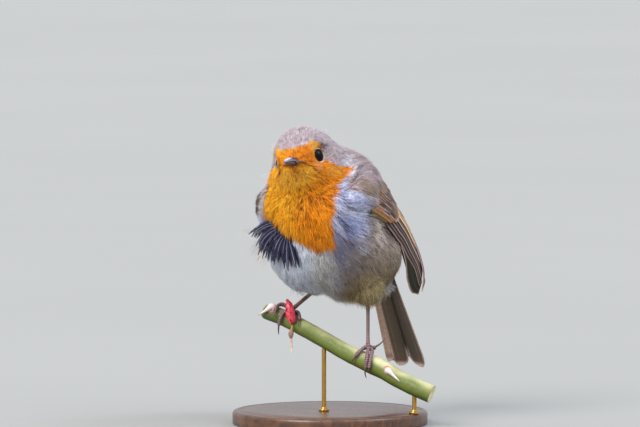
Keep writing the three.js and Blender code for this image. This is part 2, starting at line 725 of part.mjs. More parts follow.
// ---------------------------------------------------------------- red shoot and dry stipule by the right foot
const SHOOT = {
  line: [
    [-9.5, -14.3, 44.4],
    [-10.0, -14.5, 46.7],
    [-10.8, -14.6, 49.0],
    [-11.3, -14.4, 51.4],
    [-12.1, -13.9, 53.4],
    [-13.2, -13.6, 55.3],
  ],
  r: [1.0, 1.9, 2.15, 2.0, 1.2, 0.4],
};
const shootSolid = (grow = 0) => solid(tube(SHOOT.line.map(v3), SHOOT.r, 8, 6, grow));
let shoot = shootSolid().subtract(stemFat);
for (const t of FEET.right.taken) shoot = shoot.subtract(t);
add("perch_shoot", largest(shoot), COLOURS.bud);
const STIPULE = {
  line: [
    [-9.45, -15.0, 43.9],
    [-9.5, -15.6, 41.95],
    [-9.43, -15.8, 39.53],
    [-9.35, -15.9, 36.68],
    [-9.06, -16.1, 31.7],
  ],
  r: [0.45, 0.45, 0.7, 1.25, 1.15, 0.55, 0.4, 0.5, 0.4],
};
const stipule = solid(tube(STIPULE.line.map(v3), STIPULE.r, 6, 11));
let stip = stipule.subtract(stemFat).subtract(shootSolid(GAP));
for (const t of FEET.right.taken) stip = stip.subtract(t);
add("perch_stipule", largest(stip), COLOURS.dry);

// ---------------------------------------------------------------- display stand
const profile = [
  [0, 0],
  [BASE.r - 0.6, 0],
  [BASE.r, 0.6],
  [BASE.r, BASE.thick - BASE.edge],
  [BASE.r - BASE.edge * 0.35, BASE.thick - BASE.edge * 0.35],
  [BASE.r - BASE.edge, BASE.thick],
  [0, BASE.thick],
].map(([x, z]) => new THREE.Vector2(x, z));
const baseGeometry = new THREE.LatheGeometry(profile, BASE.sides);
baseGeometry.rotateX(Math.PI / 2);
const baseSolid = solid(baseGeometry);
add("stand_base", baseSolid, COLOURS.wood);
ROD.at.forEach((t, i) => {
  const c = stemCurve.getPoint(t);
  const g = new THREE.CylinderGeometry(ROD.r, ROD.r, c.z - BASE.thick - GAP, 16);
  g.rotateX(Math.PI / 2);
  g.translate(c.x, c.y, (c.z + BASE.thick + GAP) / 2);
  add("stand_rod_" + (i + 1), largest(solid(g).subtract(stemFat)), COLOURS.brass);
});

export default robin;
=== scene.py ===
# European robin (Erithacus rubecula), fluffed up on a short cut rose stem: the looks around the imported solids.
# Sizes below are millimetres in the part's frame and become metres when a mesh is made.
import math

import bpy
import numpy as np
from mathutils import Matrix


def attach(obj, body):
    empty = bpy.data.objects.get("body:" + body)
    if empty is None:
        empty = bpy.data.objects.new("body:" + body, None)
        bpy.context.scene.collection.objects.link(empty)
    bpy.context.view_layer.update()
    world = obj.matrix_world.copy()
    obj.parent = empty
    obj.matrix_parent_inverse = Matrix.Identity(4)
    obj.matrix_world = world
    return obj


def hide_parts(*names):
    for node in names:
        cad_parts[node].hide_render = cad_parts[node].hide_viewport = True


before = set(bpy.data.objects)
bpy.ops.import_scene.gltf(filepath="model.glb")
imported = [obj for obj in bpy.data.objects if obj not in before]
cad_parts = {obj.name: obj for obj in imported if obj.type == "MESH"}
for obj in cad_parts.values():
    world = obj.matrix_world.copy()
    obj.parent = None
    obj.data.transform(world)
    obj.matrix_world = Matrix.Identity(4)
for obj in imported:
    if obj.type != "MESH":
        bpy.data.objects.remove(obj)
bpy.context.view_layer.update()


rng = np.random.default_rng(20)
GAP = 0.3
BODY = [
    ((0, -1, 82), (28.0, 30.5, 27.5), 0, 0),
    ((0, -9, 95), (25.0, 23.5, 20.5), 12, 9),
    ((0, 3, 104.5), (22.0, 18.5, 18.3), -20, 9),
    ((0, 13, 73), (24.0, 22.0, 18.0), -18, 9),
    ((0, 18.5, 88), (17.5, 12.5, 18.0), -28, 9),
    ((0, 27, 74), (10.5, 10.5, 17.0), 24, 9),
    ((0, 29.5, 63.5), (8.5, 8.5, 11.5), 22, 8),
    ((-1.0, -12.0, 112.5), (17.0, 14.5, 14.0), 25, 8),
]
RUFFLE = ((-22.7, -19.4, 83.2), (4.3, 5.0, 6.0), 6)
THIGHS = [((16.2, 5.6, 60.0), (6.6, 7.4, 7.6), 4), ((-8.4, 0.0, 58.6), (4.8, 5.2, 5.6), 4)]
HEAD_AT = np.array([0.25, -21.35, 119.35])
TURN, TILT = np.radians(20.0), np.radians(12.0)
SKULL = ((0.4, -2.4, 0.3), (13.2, 12.9, 12.8))
HEAD_PARTS = [((0, 4.6, -1.6), (9.6, 9.4, 8.6), 5), ((0, 8.6, -2.4), (5.2, 6.0, 4.6), 4), ((0, 2.6, -9.0), (11.0, 10.5, 8.5), 6)]
SOCKET = ((13.3, 6.0, -1.0), 4.9, 2.6)
EYE = dict(forward=3.2, side=7.15, up=-1.55, radius=3.7)

FWD = np.array([np.sin(TURN), -np.cos(TURN), 0.0])
LEVEL = np.array([np.cos(TURN), np.sin(TURN), 0.0])
LEFT = LEVEL * np.cos(TILT) + np.array([0, 0, np.sin(TILT)])
UP = np.array([0, 0, np.cos(TILT)]) - LEVEL * np.sin(TILT)


def head_point(l, f, u):
    return HEAD_AT + np.multiply.outer(np.asarray(l, float), LEFT) + np.multiply.outer(np.asarray(f, float), FWD) + np.multiply.outer(np.asarray(u, float), UP)


def in_head(p):
    q = p - HEAD_AT
    return q @ LEFT, q @ FWD, q @ UP


def ellipsoid(x, y, z, r):
    a, b, c = x / r[0], y / r[1], z / r[2]
    k0 = np.sqrt(a * a + b * b + c * c)
    k1 = np.sqrt((a / r[0]) ** 2 + (b / r[1]) ** 2 + (c / r[2]) ** 2)
    return k0 * (k0 - 1) / np.maximum(k1, 1e-9)


def join(a, b, k):
    if not k:
        return np.minimum(a, b)
    h = np.maximum(k - np.abs(a - b), 0) / k
    return np.minimum(a, b) - h * h * k / 4


def flesh(p, thighs=True):
    x, y, z = p[..., 0], p[..., 1], p[..., 2]
    d = np.full(x.shape, 1e3)
    for at, r, pitch, blend in BODY:
        c, s = np.cos(np.radians(pitch)), np.sin(np.radians(pitch))
        yy, zz = y - at[1], z - at[2]
        d = join(d, ellipsoid(x - at[0], c * yy + s * zz, -s * yy + c * zz, r), blend)
    at, r, k = RUFFLE
    d = join(d, ellipsoid(x - at[0], y - at[1], z - at[2], r), k)
    l, f, u = in_head(p)
    at, r = SKULL
    h = ellipsoid(l - at[0], f - at[1], u - at[2], r)
    for at, r, k in HEAD_PARTS:
        h = join(h, ellipsoid(l - at[0], f - at[1], u - at[2], r), k)
    d = join(d, h, 7)
    at, r, k = SOCKET
    ball = np.sqrt((np.abs(l) - at[0]) ** 2 + (f - at[1]) ** 2 + (u - at[2]) ** 2) - r
    d = -join(-d, ball, k)
    if thighs:
        for at, r, k in THIGHS:
            d = join(d, ellipsoid(x - at[0], y - at[1], z - at[2], r), k)
    return d

WING = [
    ((25.0, -17.0, 101.0), (23.0, -12.5, 105.5), 0.6, 1.6),
    ((26.6, -12.6, 98.6), (20.8, -2.2, 113.2), 2.2, 4.6),
    ((27.8, -5.6, 94.3), (17.8, 7.4, 113.0), 3.4, 5.6),
    ((28.4, 2.2, 89.5), (18.3, 13.9, 106.3), 3.3, 5.4),
    ((28.3, 9.2, 84.1), (20.2, 18.7, 98.4), 2.6, 4.6),
    ((27.2, 15.6, 78.0), (21.5, 25.2, 90.4), 2.1, 3.4),
    ((25.8, 21.3, 70.6), (22.0, 31.6, 81.7), 1.5, 2.4),
    ((24.2, 26.4, 63.7), (22.2, 36.8, 72.6), 1.1, 1.7),
    ((22.6, 31.0, 58.3), (21.8, 39.4, 64.5), 0.7, 1.2),
    ((21.5, 35.4, 55.3), (21.4, 38.6, 57.6), 0.25, 0.9),
]
WING_LIFT = ((2.0, -1.4, -4.5), 6.0)
W_LOW = np.array([w[0] for w in WING], float)
W_HIGH = np.array([w[1] for w in WING], float)
W_BULGE = np.array([w[2] for w in WING], float)
W_THICK = np.array([w[3] for w in WING], float)


def spline(table, a):
    """Catmull-Rom through the rows of table at the parameter a, which may run past both ends."""
    table = np.asarray(table, float)
    n = len(table)
    a = np.asarray(a, float)
    i = np.clip(np.floor(a).astype(int), 0, n - 2)
    t = a - i
    get = lambda k: np.where(
        ((k >= 0) & (k < n)).reshape(k.shape + (1,) * (table.ndim - 1)),
        table[np.clip(k, 0, n - 1)],
        np.where((k < 0).reshape(k.shape + (1,) * (table.ndim - 1)), 2 * table[0] - table[1], 2 * table[-1] - table[-2]),
    )
    p0, p1, p2, p3 = get(i - 1), get(i), get(i + 1), get(i + 2)
    t = t.reshape(t.shape + (1,) * (table.ndim - 1))
    inside = 0.5 * (2 * p1 + (p2 - p0) * t + (2 * p0 - 5 * p1 + 4 * p2 - p3) * t**2 + (3 * p1 - p0 - 3 * p2 + p3) * t**3)
    return np.where(t < 0, p1 + (p1 - p0) * t, np.where(t > 1, p2 + (p3 - p2) * (t - 1), inside))


def unit(v):
    return v / np.maximum(np.linalg.norm(v, axis=-1, keepdims=True), 1e-12)


def wing_point(a, b, h=0.0, side=1):
    """A point over the folded wing's outer face: station a from the bend to the tip, share b from the lower to the upper edge, height h."""
    a, b, h = np.broadcast_arrays(np.asarray(a, float), np.asarray(b, float), np.asarray(h, float))
    low, high = spline(W_LOW, a), spline(W_HIGH, a)
    bulge = spline(W_BULGE, np.clip(a, 0, 9))
    e = 0.05
    along = unit(spline(W_LOW, a + e) + spline(W_HIGH, a + e) - spline(W_LOW, a - e) - spline(W_HIGH, a - e))
    chord = high - low
    out = unit(np.cross(chord, along))
    flip = np.sign(np.sum(out * (low - np.array([0, 2, 84.0])), -1, keepdims=True))
    out = out * np.where(flip == 0, 1, flip)
    arch = 1 - np.abs(2 * np.clip(b, -0.1, 1.1) - 1) ** 2.2
    q = low + chord * b[..., None] + out * (bulge * arch + h)[..., None]
    if side < 0:
        lift = np.maximum(0, 1 - a / WING_LIFT[1])
        q = q + np.multiply.outer(lift, np.array(WING_LIFT[0]))
        q = q * np.array([-1, 1, 1.0])
    return q


TAIL_ROOT = np.array([0.4, 32.3, 77.0])
TAIL_DOWN = unit(np.array([0.026, 0.405, -0.914]))
TAIL_RIGHT = np.array([1.0, 0, 0])
TAIL_BACK = unit(np.cross(TAIL_RIGHT, TAIL_DOWN))
if TAIL_BACK[1] < 0:
    TAIL_BACK = -TAIL_BACK
TAIL_LEN, TAIL_NOTCH, TAIL_THICK, TAIL_CAMBER = 58.5, 5.0, 1.9, 1.6
TAIL_HALF = [(0.0, 5.2), (0.25, 6.4), (0.5, 8.0), (0.75, 9.8), (0.93, 11.2), (1.0, 9.4)]


def tail_point(reach, x, h=0.0):
    """A point of the fan: reach mm down from its root, x mm to the bird's left, h mm towards the back."""
    reach, x, h = np.broadcast_arrays(np.asarray(reach, float), np.asarray(x, float), np.asarray(h, float))
    t = reach / TAIL_LEN
    half = np.interp(t, [w[0] for w in TAIL_HALF], [w[1] for w in TAIL_HALF])
    s = np.clip(x / half, -1.2, 1.2)
    return TAIL_ROOT + np.multiply.outer(reach, TAIL_DOWN) + np.multiply.outer(x, TAIL_RIGHT) + np.multiply.outer(h - TAIL_CAMBER * s * s * (0.4 + 0.6 * t), TAIL_BACK)

# ---------------------------------------------------------------- sampled fields
class Sampled:
    """Values on a regular grid, read between its points."""

    def __init__(self, low, step, values):
        self.low, self.step, self.v = np.asarray(low, float), float(step), values.astype(np.float32)
        self.n = np.array(values.shape[:3])

    def __call__(self, p):
        q = (np.asarray(p) - self.low) / self.step
        i = np.clip(np.floor(q).astype(np.int64), 0, self.n - 2)
        t = np.clip(q - i, 0, 1).astype(np.float32)
        x, y, z = i[..., 0], i[..., 1], i[..., 2]
        tx, ty, tz = t[..., 0], t[..., 1], t[..., 2]
        if self.v.ndim > 3:
            tx, ty, tz = tx[..., None], ty[..., None], tz[..., None]
        v = self.v
        a = v[x, y, z] * (1 - tx) + v[x + 1, y, z] * tx
        b = v[x, y + 1, z] * (1 - tx) + v[x + 1, y + 1, z] * tx
        c = v[x, y, z + 1] * (1 - tx) + v[x + 1, y, z + 1] * tx
        d = v[x, y + 1, z + 1] * (1 - tx) + v[x + 1, y + 1, z + 1] * tx
        return (a * (1 - ty) + b * ty) * (1 - tz) + (c * (1 - ty) + d * ty) * tz


def lattice(seed, n=32):
    return np.random.default_rng(seed).uniform(-1, 1, (n, n, n)).astype(np.float32)


_LAT = [lattice(s) for s in (11, 12, 13)]


def noise(p, size, which=0):
    """Smooth noise from -1 to 1 whose lumps are about size mm across."""
    v = _LAT[which]
    n = v.shape[0]
    q = np.asarray(p, float) / size
    i = np.floor(q).astype(np.int64)
    t = q - i
    t = t * t * (3 - 2 * t)
    x, y, z = (i % n)[..., 0], (i % n)[..., 1], (i % n)[..., 2]
    X, Y, Z = (x + 1) % n, (y + 1) % n, (z + 1) % n
    tx, ty, tz = t[..., 0], t[..., 1], t[..., 2]
    a = v[x, y, z] * (1 - tx) + v[X, y, z] * tx
    b = v[x, Y, z] * (1 - tx) + v[X, Y, z] * tx
    c = v[x, y, Z] * (1 - tx) + v[X, y, Z] * tx
    d = v[x, Y, Z] * (1 - tx) + v[X, Y, Z] * tx
    return (a * (1 - ty) + b * ty) * (1 - tz) + (c * (1 - ty) + d * ty) * tz


def ramp(x, a, b):
    t = np.clip((np.asarray(x, float) - a) / (b - a), 0, 1)
    return t * t * (3 - 2 * t)


def srgb(*c):
    c = np.array(c, float) / 255
    return np.where(c <= 0.04045, c / 12.92, ((c + 0.055) / 1.055) ** 2.4)


# ---------------------------------------------------------------- coat depth and the surface that the coat follows
def coat_depth(p):
    """How far the skin lies under the tips of the coat."""
    l, f, u = in_head(p)
    r = np.sqrt(l * l + f * f + u * u)
    d = 1.7 + 2.8 * ramp(r, 13.5, 25)
    face = np.sqrt(l * l + (f - 13) ** 2 + (u + 2.6) ** 2)
    d = 0.7 + (d - 0.7) * ramp(face, 3, 11)
    eye = np.sqrt((np.abs(l) - 9.6) ** 2 + (f - 3.9) ** 2 + (u + 1.5) ** 2)
    d = 0.45 + (d - 0.45) * ramp(eye, 3.2, 7.5)
    thigh = np.minimum(*[np.sqrt(np.sum((p - np.array(at)) ** 2, -1)) - max(r) for at, r, _ in THIGHS])
    return np.where(thigh < 1.5, np.minimum(d, 2.4 + 1.4 * np.clip(thigh, -1, 1.5)), d)


FIELD_LOW, FIELD_STEP, FIELD_N = np.array([-42.0, -56.0, 40.0]), 1.0, (85, 113, 101)


def sample_points():
    ax = [FIELD_LOW[i] + FIELD_STEP * np.arange(FIELD_N[i]) for i in range(3)]
    return np.stack(np.meshgrid(*ax, indexing="ij"), -1)


def with_gradient(v):
    g = np.stack(np.gradient(v, FIELD_STEP), -1)
    return Sampled(FIELD_LOW, FIELD_STEP, np.concatenate([v[..., None], g], -1))


def shoulder_field(points, d):
    """The body's surface swelled over the bend and shoulder of each folded wing, for the feathers that cover them."""
    a, b = np.meshgrid(np.linspace(-0.1, 2.9, 34), np.linspace(0.06, 0.97, 26), indexing="ij")
    fade = ramp(a, 1.7, 2.9) * 3.2 + ramp(0.3 - b, 0.0, 0.3) * ramp(a, 0.6, 1.6) * 2.2
    out = d.copy()
    for side in (1, -1):
        low_edge = ramp(0.55 - b, 0.0, 0.3) * 1.6 if side < 0 else 0.0
        w = wing_point(a, b, -2.4 - fade * 0.9 - low_edge, side).reshape(-1, 3)
        lo, hi = w.min(0) - 7, w.max(0) + 7
        i0 = np.maximum(((lo - FIELD_LOW) / FIELD_STEP).astype(int), 0)
        i1 = np.minimum(((hi - FIELD_LOW) / FIELD_STEP).astype(int) + 1, FIELD_N)
        sl = tuple(slice(x, y) for x, y in zip(i0, i1))
        q = points[sl].reshape(-1, 3).astype(np.float32)
        best = np.full(len(q), 1e9, np.float32)
        w = w.astype(np.float32)
        q2 = (q * q).sum(1)
        for k in range(0, len(w), 128):
            ww = w[k : k + 128]
            m = q2[:, None] + (ww * ww).sum(1)[None] - 2 * q @ ww.T
            best = np.minimum(best, m.min(1))
        dw = np.sqrt(np.maximum(best, 0)).reshape(points[sl].shape[:3]) - 2.7
        out[sl] = join(out[sl], dw, 5.0)
    return out


# ---------------------------------------------------------------- markings, from a place on the bird
def body_az(p):
    return np.degrees(np.arctan2(p[..., 0], -(p[..., 1] - 2)))


BIB_LOW = ([-70, -50, -40, -28, -16, -5, 5, 16, 24, 33, 40, 60], [104, 101, 97, 92.5, 89.5, 85.9, 82.2, 79.2, 77.2, 77.6, 79, 84])
BIB_SIDE = ([70, 78, 86, 92, 96, 100, 104, 107, 110, 112, 114, 118], [38, 39, 38.5, 37.5, 40, 40.5, 41.5, 44, 50, 58, 66, 70])
FACE_BACK = ([-20, -16, -13.5, -11.5, -9.5, -8.2, -7.4, -5.5, -3, 0, 1.7, 4, 5.6, 7], [74, 80, 90, 102, 111, 101, 87, 80, 79, 78, 77, 72, 60, 40])
FACE_TOP = ([0, 14, 32, 47, 60, 72], [3.9, 4.3, 4.5, 5.4, 5.7, 5.0])


def orange_share(p):
    """1 on the orange face and breast, 0 off it, with a ragged edge."""
    l, f, u = in_head(p)
    th = np.degrees(np.arctan2(np.abs(l), f)) - 24 * (l < 0) * ramp(u, -1.5, -5.5)
    wob = 1.0 * noise(p, 2.2, 0) + 0.6 * noise(p, 1.0, 1)
    near_head = ramp(u, -21, -15)
    behind = (np.interp(u, *FACE_BACK) - th) * 0.2
    top = np.interp(th, *FACE_TOP) - u
    face = np.minimum(behind, top) + 0.3 * wob
    az, z = body_az(p), p[..., 2]
    side = (np.interp(z, *BIB_SIDE) + 5 * (az < 0) * ramp(z, 98, 105) - np.abs(az + 1.5 * (az < 0))) * 0.42
    low = z - np.interp(az, *BIB_LOW)
    bib = np.minimum(side, low) + 0.8 * wob
    d = face * near_head + bib * (1 - near_head)
    return ramp(d, -0.45, 0.45)


C = {
    "orange": srgb(240, 142, 8),
    "orange_lit": srgb(253, 176, 26),
    "orange_pale": srgb(254, 190, 80),
    "orange_deep": srgb(204, 100, 6),
    "orange_root": srgb(160, 76, 8),
    "crown": srgb(186, 169, 173),
    "crown_root": srgb(122, 108, 116),
    "cheek": srgb(190, 172, 178),
    "neck_side": srgb(214, 206, 216),
    "side": srgb(202, 206, 240),
    "side_root": srgb(108, 114, 152),
    "flank": srgb(154, 142, 142),
    "flank_blue": srgb(118, 118, 138),
    "flank_warm": srgb(202, 182, 168),
    "flank_dark": srgb(146, 130, 106),
    "olive": srgb(164, 140, 98),
    "olive_root": srgb(74, 64, 48),
    "belly": srgb(222, 229, 246),
    "belly_root": srgb(142, 148, 168),
    "belly_low": srgb(196, 193, 188),
    "vent": srgb(186, 164, 118),
    "mantle": srgb(152, 134, 126),
    "mantle_root": srgb(78, 66, 64),
    "rump": srgb(132, 114, 84),
    "under_tail": srgb(216, 204, 182),
    "thigh": srgb(160, 146, 108),
    "ring": srgb(238, 222, 200),
    "dark": srgb(40, 30, 24),
    "navy": srgb(24, 27, 42),
    "scapular": srgb(180, 158, 160),
    "scapular_b": srgb(160, 140, 122),
    "fringe": srgb(222, 222, 232),
}


def blend(a, b, w):
    w = np.asarray(w)[..., None]
    return a * (1 - w) + b * w


def eye_distance(p):
    """Distance from the axis of the nearer eye, and how far towards the back of the head p lies from it."""
    l, f, u = in_head(p)
    q = np.stack([np.abs(l) - EYE["side"], f - EYE["forward"], u - EYE["up"]], -1)
    ax = unit(np.array([6.15, 2.8, 0.55]))
    along = q @ ax
    r = q - along[..., None] * ax
    return np.where(along > 0, np.linalg.norm(r, axis=-1), 99.0), -q[..., 1], -q[..., 2]


def seg_distance(p, pts):
    """Distance from p to the line through pts, and the share along it."""
    pts = np.asarray(pts, float)
    best = np.full(p.shape[:-1], 1e9)
    share = np.zeros(p.shape[:-1])
    n = len(pts) - 1
    for k in range(n):
        a, d = pts[k], pts[k + 1] - pts[k]
        t = np.clip(((p - a) @ d) / (d @ d), 0, 1)
        r = np.linalg.norm(p - a - t[..., None] * d, axis=-1)
        share = np.where(r < best, (k + t) / n, share)
        best = np.minimum(best, r)
    return best, share


# creases of the face where the feathers part, along which shade is painted, in head coordinates (left, forward, up)
MALAR = [(4.4, 14.3, -2.6), (5.9, 13.2, -4.1), (7.9, 11.5, -5.6), (9.4, 10.1, -7.6), (10.4, 8.8, -9.9)]
CHEEK_FOLD = [(7.9, 11.1, -9.7), (10.3, 8.4, -12.1), (11.6, 6.7, -14.3)]
RIGHT_FOLD = [(-6.6, 12.3, -1.6), (-7.8, 11.5, -3.1), (-7.5, 11.8, -4.3), (-8.2, 11.1, -5.4), (-9.8, 9.5, -6.6), (-11.6, 7.2, -7.2)]


def plumage(p):
    """Tip colour, root colour (linear) of the feather whose visible part is at p."""
    l, f, u = in_head(p)
    h = np.stack([l, f, u], -1)
    x, y, z = p[..., 0], p[..., 1], p[..., 2]
    az = body_az(p)
    aaz = np.abs(az)
    r = np.sqrt(l * l + f * f + u * u)
    big, mid, fine = noise(p, 9, 0), noise(p, 3.2, 1), noise(p, 1.3, 2)
    shape = p.shape[:-1]
    tip = np.broadcast_to(C["flank"], shape + (3,)).copy()
    root = np.broadcast_to(C["side_root"] * 0.9, shape + (3,)).copy()
    # flanks: blue grey in front, pale warm grey up under the wing, olive brown low and behind
    w = ramp(aaz, 66, 44) * ramp(z, 106, 92)
    tip = blend(tip, C["flank_blue"], 0.9 * w * ramp(z, 66, 80))
    w = ramp(aaz + 0.5 * (84 - z) + 5 * big, 66, 84)
    tip = blend(tip, C["flank_warm"], 0.75 * w)
    w = ramp(aaz + 5 * mid, 74, 90) * ramp(z + 2 * big, 66, 74) * ramp(z, 98, 92)
    tip = blend(tip, srgb(226, 208, 198), 0.8 * w)
    root = blend(root, srgb(120, 104, 96), 0.6 * w)
    w = ramp((79 - z) + 4 * big + 2 * mid, -3, 6) * ramp(aaz + 3 * mid, 47, 60)
    tip = blend(tip, C["flank_dark"], 0.7 * w)
    w = ramp((68 - z) + 3 * big, -4, 6) * ramp(aaz, 40, 62)
    tip = blend(tip, C["olive"], 0.8 * w)
    root = blend(root, C["olive_root"], ramp(aaz, 50, 80) * 0.8)
    w = ramp(seg_distance(p, [(25.3, -16.8, 88.4), (26.5, -12, 84), (26, -9, 79)])[0] + mid, 4.5, 1.5)
    tip = blend(tip, srgb(204, 198, 212), 0.5 * w)
    # blue grey patch between the orange and the wing
    w = ramp(z + 1.5 * mid, 82, 88) * ramp(aaz, 30, 36) * ramp(aaz, 76, 62)
    tip = blend(tip, C["side"], w)
    root = blend(root, C["side_root"], w)
    w = ramp(z + 2 * mid, 95.5, 91.5) * ramp(z, 80, 86) * ramp(aaz, 34, 40) * ramp(aaz, 66, 56)
    tip = blend(tip, srgb(150, 156, 194), 0.75 * w)
    # belly, then the vent
    w = ramp(aaz + 4 * mid + 0.6 * (z - 66), 50, 34) * ramp(z, 90, 83)
    w = np.maximum(w, ramp(z, 61, 57) * ramp(y, 14, 4) * ramp(x, 12, 4))
    tip = blend(tip, blend(C["belly"], C["belly_low"], ramp(az + 5 * big - 0.4 * (z - 66), 4, 22)), w)
    root = blend(root, C["belly_root"], w)
    w = ramp(y + 0.5 * x + 2 * mid, 2, 9) * ramp(z, 68, 61)
    tip = blend(tip, C["vent"], 0.9 * w)
    root = blend(root, C["olive_root"] * 1.3, w)
    # back, rump and tail coverts
    w = ramp(aaz + 6 * mid, 88, 104) * ramp(z, 76, 84)
    tip = blend(tip, C["mantle"], w)
    root = blend(root, C["mantle_root"], w)
    w = ramp(aaz + 4 * mid, 112, 128) * ramp(z, 92, 82)
    tip = blend(tip, C["rump"], w)
    root = blend(root, C["mantle_root"], w)
    w = ramp(y, 22, 27) * ramp(z, 74, 66) * ramp(y - 0.443 * (66 - z), 36, 31)
    tip = blend(tip, C["under_tail"], 0.75 * w)
    # shoulder feathers over the wing bend: mauve brown, olive in the middle, with a pale band above
    w = ramp(np.abs(x), 16.0, 18.6) * ramp(z + 0.42 * (y + 12) + 0.8 * mid, 101.6, 104.2) * ramp(aaz + 2 * mid, 50.5, 54.5) * ramp(z, 114.0, 111.8)
    sc = blend(C["scapular"], C["scapular_b"], ramp(noise(p, 6.5, 2), -0.1, 0.5))
    sc = blend(sc, srgb(188, 166, 166), 0.5 * ramp(fine, 0.1, 0.6))
    tip = blend(tip, sc, w)
    root = blend(root, C["mantle_root"], w)
    w = ramp(seg_distance(p, [(22.8, 1.2, 106.9), (22.4, 8.4, 104.0), (20.2, 14.4, 99.6)])[0] + 0.3 * mid, 0.9, 0.4)
    tip = blend(tip, srgb(84, 66, 66), 0.7 * w * (x > 0))
    w = ramp(seg_distance(p, [(18.8, -8.5, 112.6), (20.8, -2.0, 112.0), (22.7, 2.8, 108.9), (21.7, 9.2, 106.4), (19.8, 14.0, 102.0)])[0] + 0.5 * mid, 1.7, 0.8)
    tip = blend(tip, srgb(232, 222, 232), 0.85 * w * (x > 0))
    # nape, between crown and back
    w = ramp(z + 0.8 * mid, 109.5, 113) * ramp(y, -15, -8) * ramp(u, -26, -20)
    tip = blend(tip, blend(srgb(190, 178, 186), blend(C["mantle"], C["crown"], 0.25), ramp(y + 1.5 * mid, -8, 5)), w)
    root = blend(root, C["crown_root"], w)
    # head
    w = ramp(r, 24, 17) * ramp(u, -17, -12)
    up = ramp(u + 0.25 * f, -9, -1)
    grey = blend(C["cheek"], C["crown"], up)
    grey = blend(grey, srgb(206, 172, 168), 0.6 * ramp(np.sqrt((np.abs(l) - 12.5) ** 2 + (f - 2) ** 2 + (u + 5.5) ** 2) + mid, 5.5, 2.0))
    speck = noise(p, 0.85, 1)
    grey = grey * (1 + (0.14 * speck + 0.05 * fine) * up)[..., None]
    grey = blend(grey, srgb(224, 214, 214), 0.25 * up * ramp(noise(p, 0.7, 0), 0.3, 0.6))
    tip = blend(tip, grey, w)
    root = blend(root, C["crown_root"], w)
    # pale sides of the neck
    w = ramp(aaz, 44, 54) * ramp(aaz, 72, 62) * ramp(z, 109.5, 112.0) * ramp(z, 121, 116) * ramp(y, 1, -5)
    tip = blend(tip, C["neck_side"], 0.9 * w)
    # thighs
    for at, rr, _ in THIGHS:
        dd = np.sqrt(np.sum((p - np.array(at)) ** 2, -1))
        w = ramp(dd, max(rr) + 1.5, max(rr) - 1) * ramp(z, at[2] + 1, at[2] - 3)
        tip = blend(tip, C["thigh"], w * (0.55 if at[0] < 0 else 1.0))
    # pale fringe between the orange and the right wing
    w = ramp(-az, 27, 31) * ramp(-az, 68, 58) * ramp(z, 92, 96) * ramp(z, 112, 109)
    tip = blend(tip, C["fringe"], 0.9 * w)
    root = blend(root, srgb(150, 152, 176), w)
    # orange
    # slate down under the ruffled plumes
    ruff = np.full(shape, 99.0)
    for a, b in (((-8.2, -31.0, 90.6), (-19.0, -27.4, 86.0)), ((-5.6, -31.4, 87.8), (-16.0, -27.8, 81.5)), ((-3.4, -31.8, 86.0), (-11.5, -29.6, 77.6)), ((-1.2, -31.9, 84.2), (-5.5, -30, 75.4)), ((1.0, -31.8, 82.9), (-0.6, -30, 75.0))):
        ruff = np.minimum(ruff, seg_distance(p, [a, b])[0])
    w = ramp(ruff + 0.6 * mid, 2.6, 1.6)
    tip = blend(tip, srgb(44, 48, 72), w)
    root = blend(root, srgb(22, 24, 38), w)
    # small coverts of the right wing's bend, beyond the fringe
    streak = ramp(noise(p * np.array([1.0, 1.0, 0.45]), 0.9, 0) + 0.4 * fine, 0.1, 0.5)[..., None]
    w = ramp(np.abs(az + 55 + 2 * mid), 19.5, 16.5) * ramp(z + 0.9 * mid + 0.05 * (az + 55), 90.5, 93.5) * ramp(z + 0.9 * mid, 106, 103) * (x < 0)
    tip = blend(tip, srgb(92, 68, 50) * (1 - streak) + srgb(180, 144, 108) * streak, 0.95 * w)
    root = blend(root, srgb(48, 34, 26), w)
    o = orange_share(p) * (1 - ramp(-az + 1.5 * mid, 36, 41) * ramp(z + 0.6 * mid, 111, 108.5))
    org = np.broadcast_to(C["orange"], shape + (3,)).copy()
    org = blend(org, C["orange_lit"], ramp(-az + 8 * big + 5 * mid, -26, 6) * 0.95)
    org = blend(org, C["orange_deep"], 0.5 * ramp(mid + 0.6 * fine, 0.1, 0.8))
    chin = np.sqrt(l * l + (f - 13) ** 2 + (u + 7) ** 2)
    org = blend(org, srgb(255, 180, 54), 1.0 * ramp(chin + 1.5 * mid, 14, 5) * ramp(u, -3.5, -6.0) * ramp(u, -18, -11))
    # painted shadow of the bill: a darker patch on the chin just under the base of the bill
    org = blend(org, srgb(206, 116, 40), 0.35 * ramp(np.sqrt(l * l + (f - 13.5) ** 2 + (u + 6.4) ** 2), 3.2, 1.4))
    org = blend(org, C["orange_deep"], 0.30 * ramp(u, -6, 0) * ramp(chin, 16, 10))
    org = blend(org, C["orange_pale"], 0.85 * ramp(np.sqrt((l - 9.8) ** 2 + (f - 6.8) ** 2 + (u - 3.4) ** 2) + 0.6 * mid, 4.8, 2.0))
    org = blend(org, C["orange_pale"], 0.6 * ramp(np.sqrt((l + 9.6) ** 2 + (f - 6.0) ** 2 + (u - 4.6) ** 2) + 0.6 * mid, 4.2, 1.8))
    org = blend(org, srgb(255, 178, 66), 0.7 * ramp(seg_distance(h, [(13.0, 3.5, -9.6), (15.6, -1.5, -10.0)])[0] + mid, 3.2, 1.0))
    org = blend(org, srgb(238, 150, 100), 0.45 * ramp(np.sqrt((l - 9.8) ** 2 + (f - 8.2) ** 2 + (u + 5.6) ** 2), 3.4, 1.4))
    speck = ramp(noise(p, 1.5, 1) + 0.5 * noise(p, 0.8, 2), 0.30, 0.7) * ramp(np.sqrt((x - 8.5) ** 2 + (y + 31) ** 2 + (z - 101) ** 2), 14, 5)
    org = blend(org, srgb(132, 62, 8), 0.8 * speck)
    # painted shade: the lower edge of the orange bib, which faces down, is painted darker and duller
    low = ramp(z - np.interp(az, *BIB_LOW), 7, 0) * ramp(u, -16, -20)
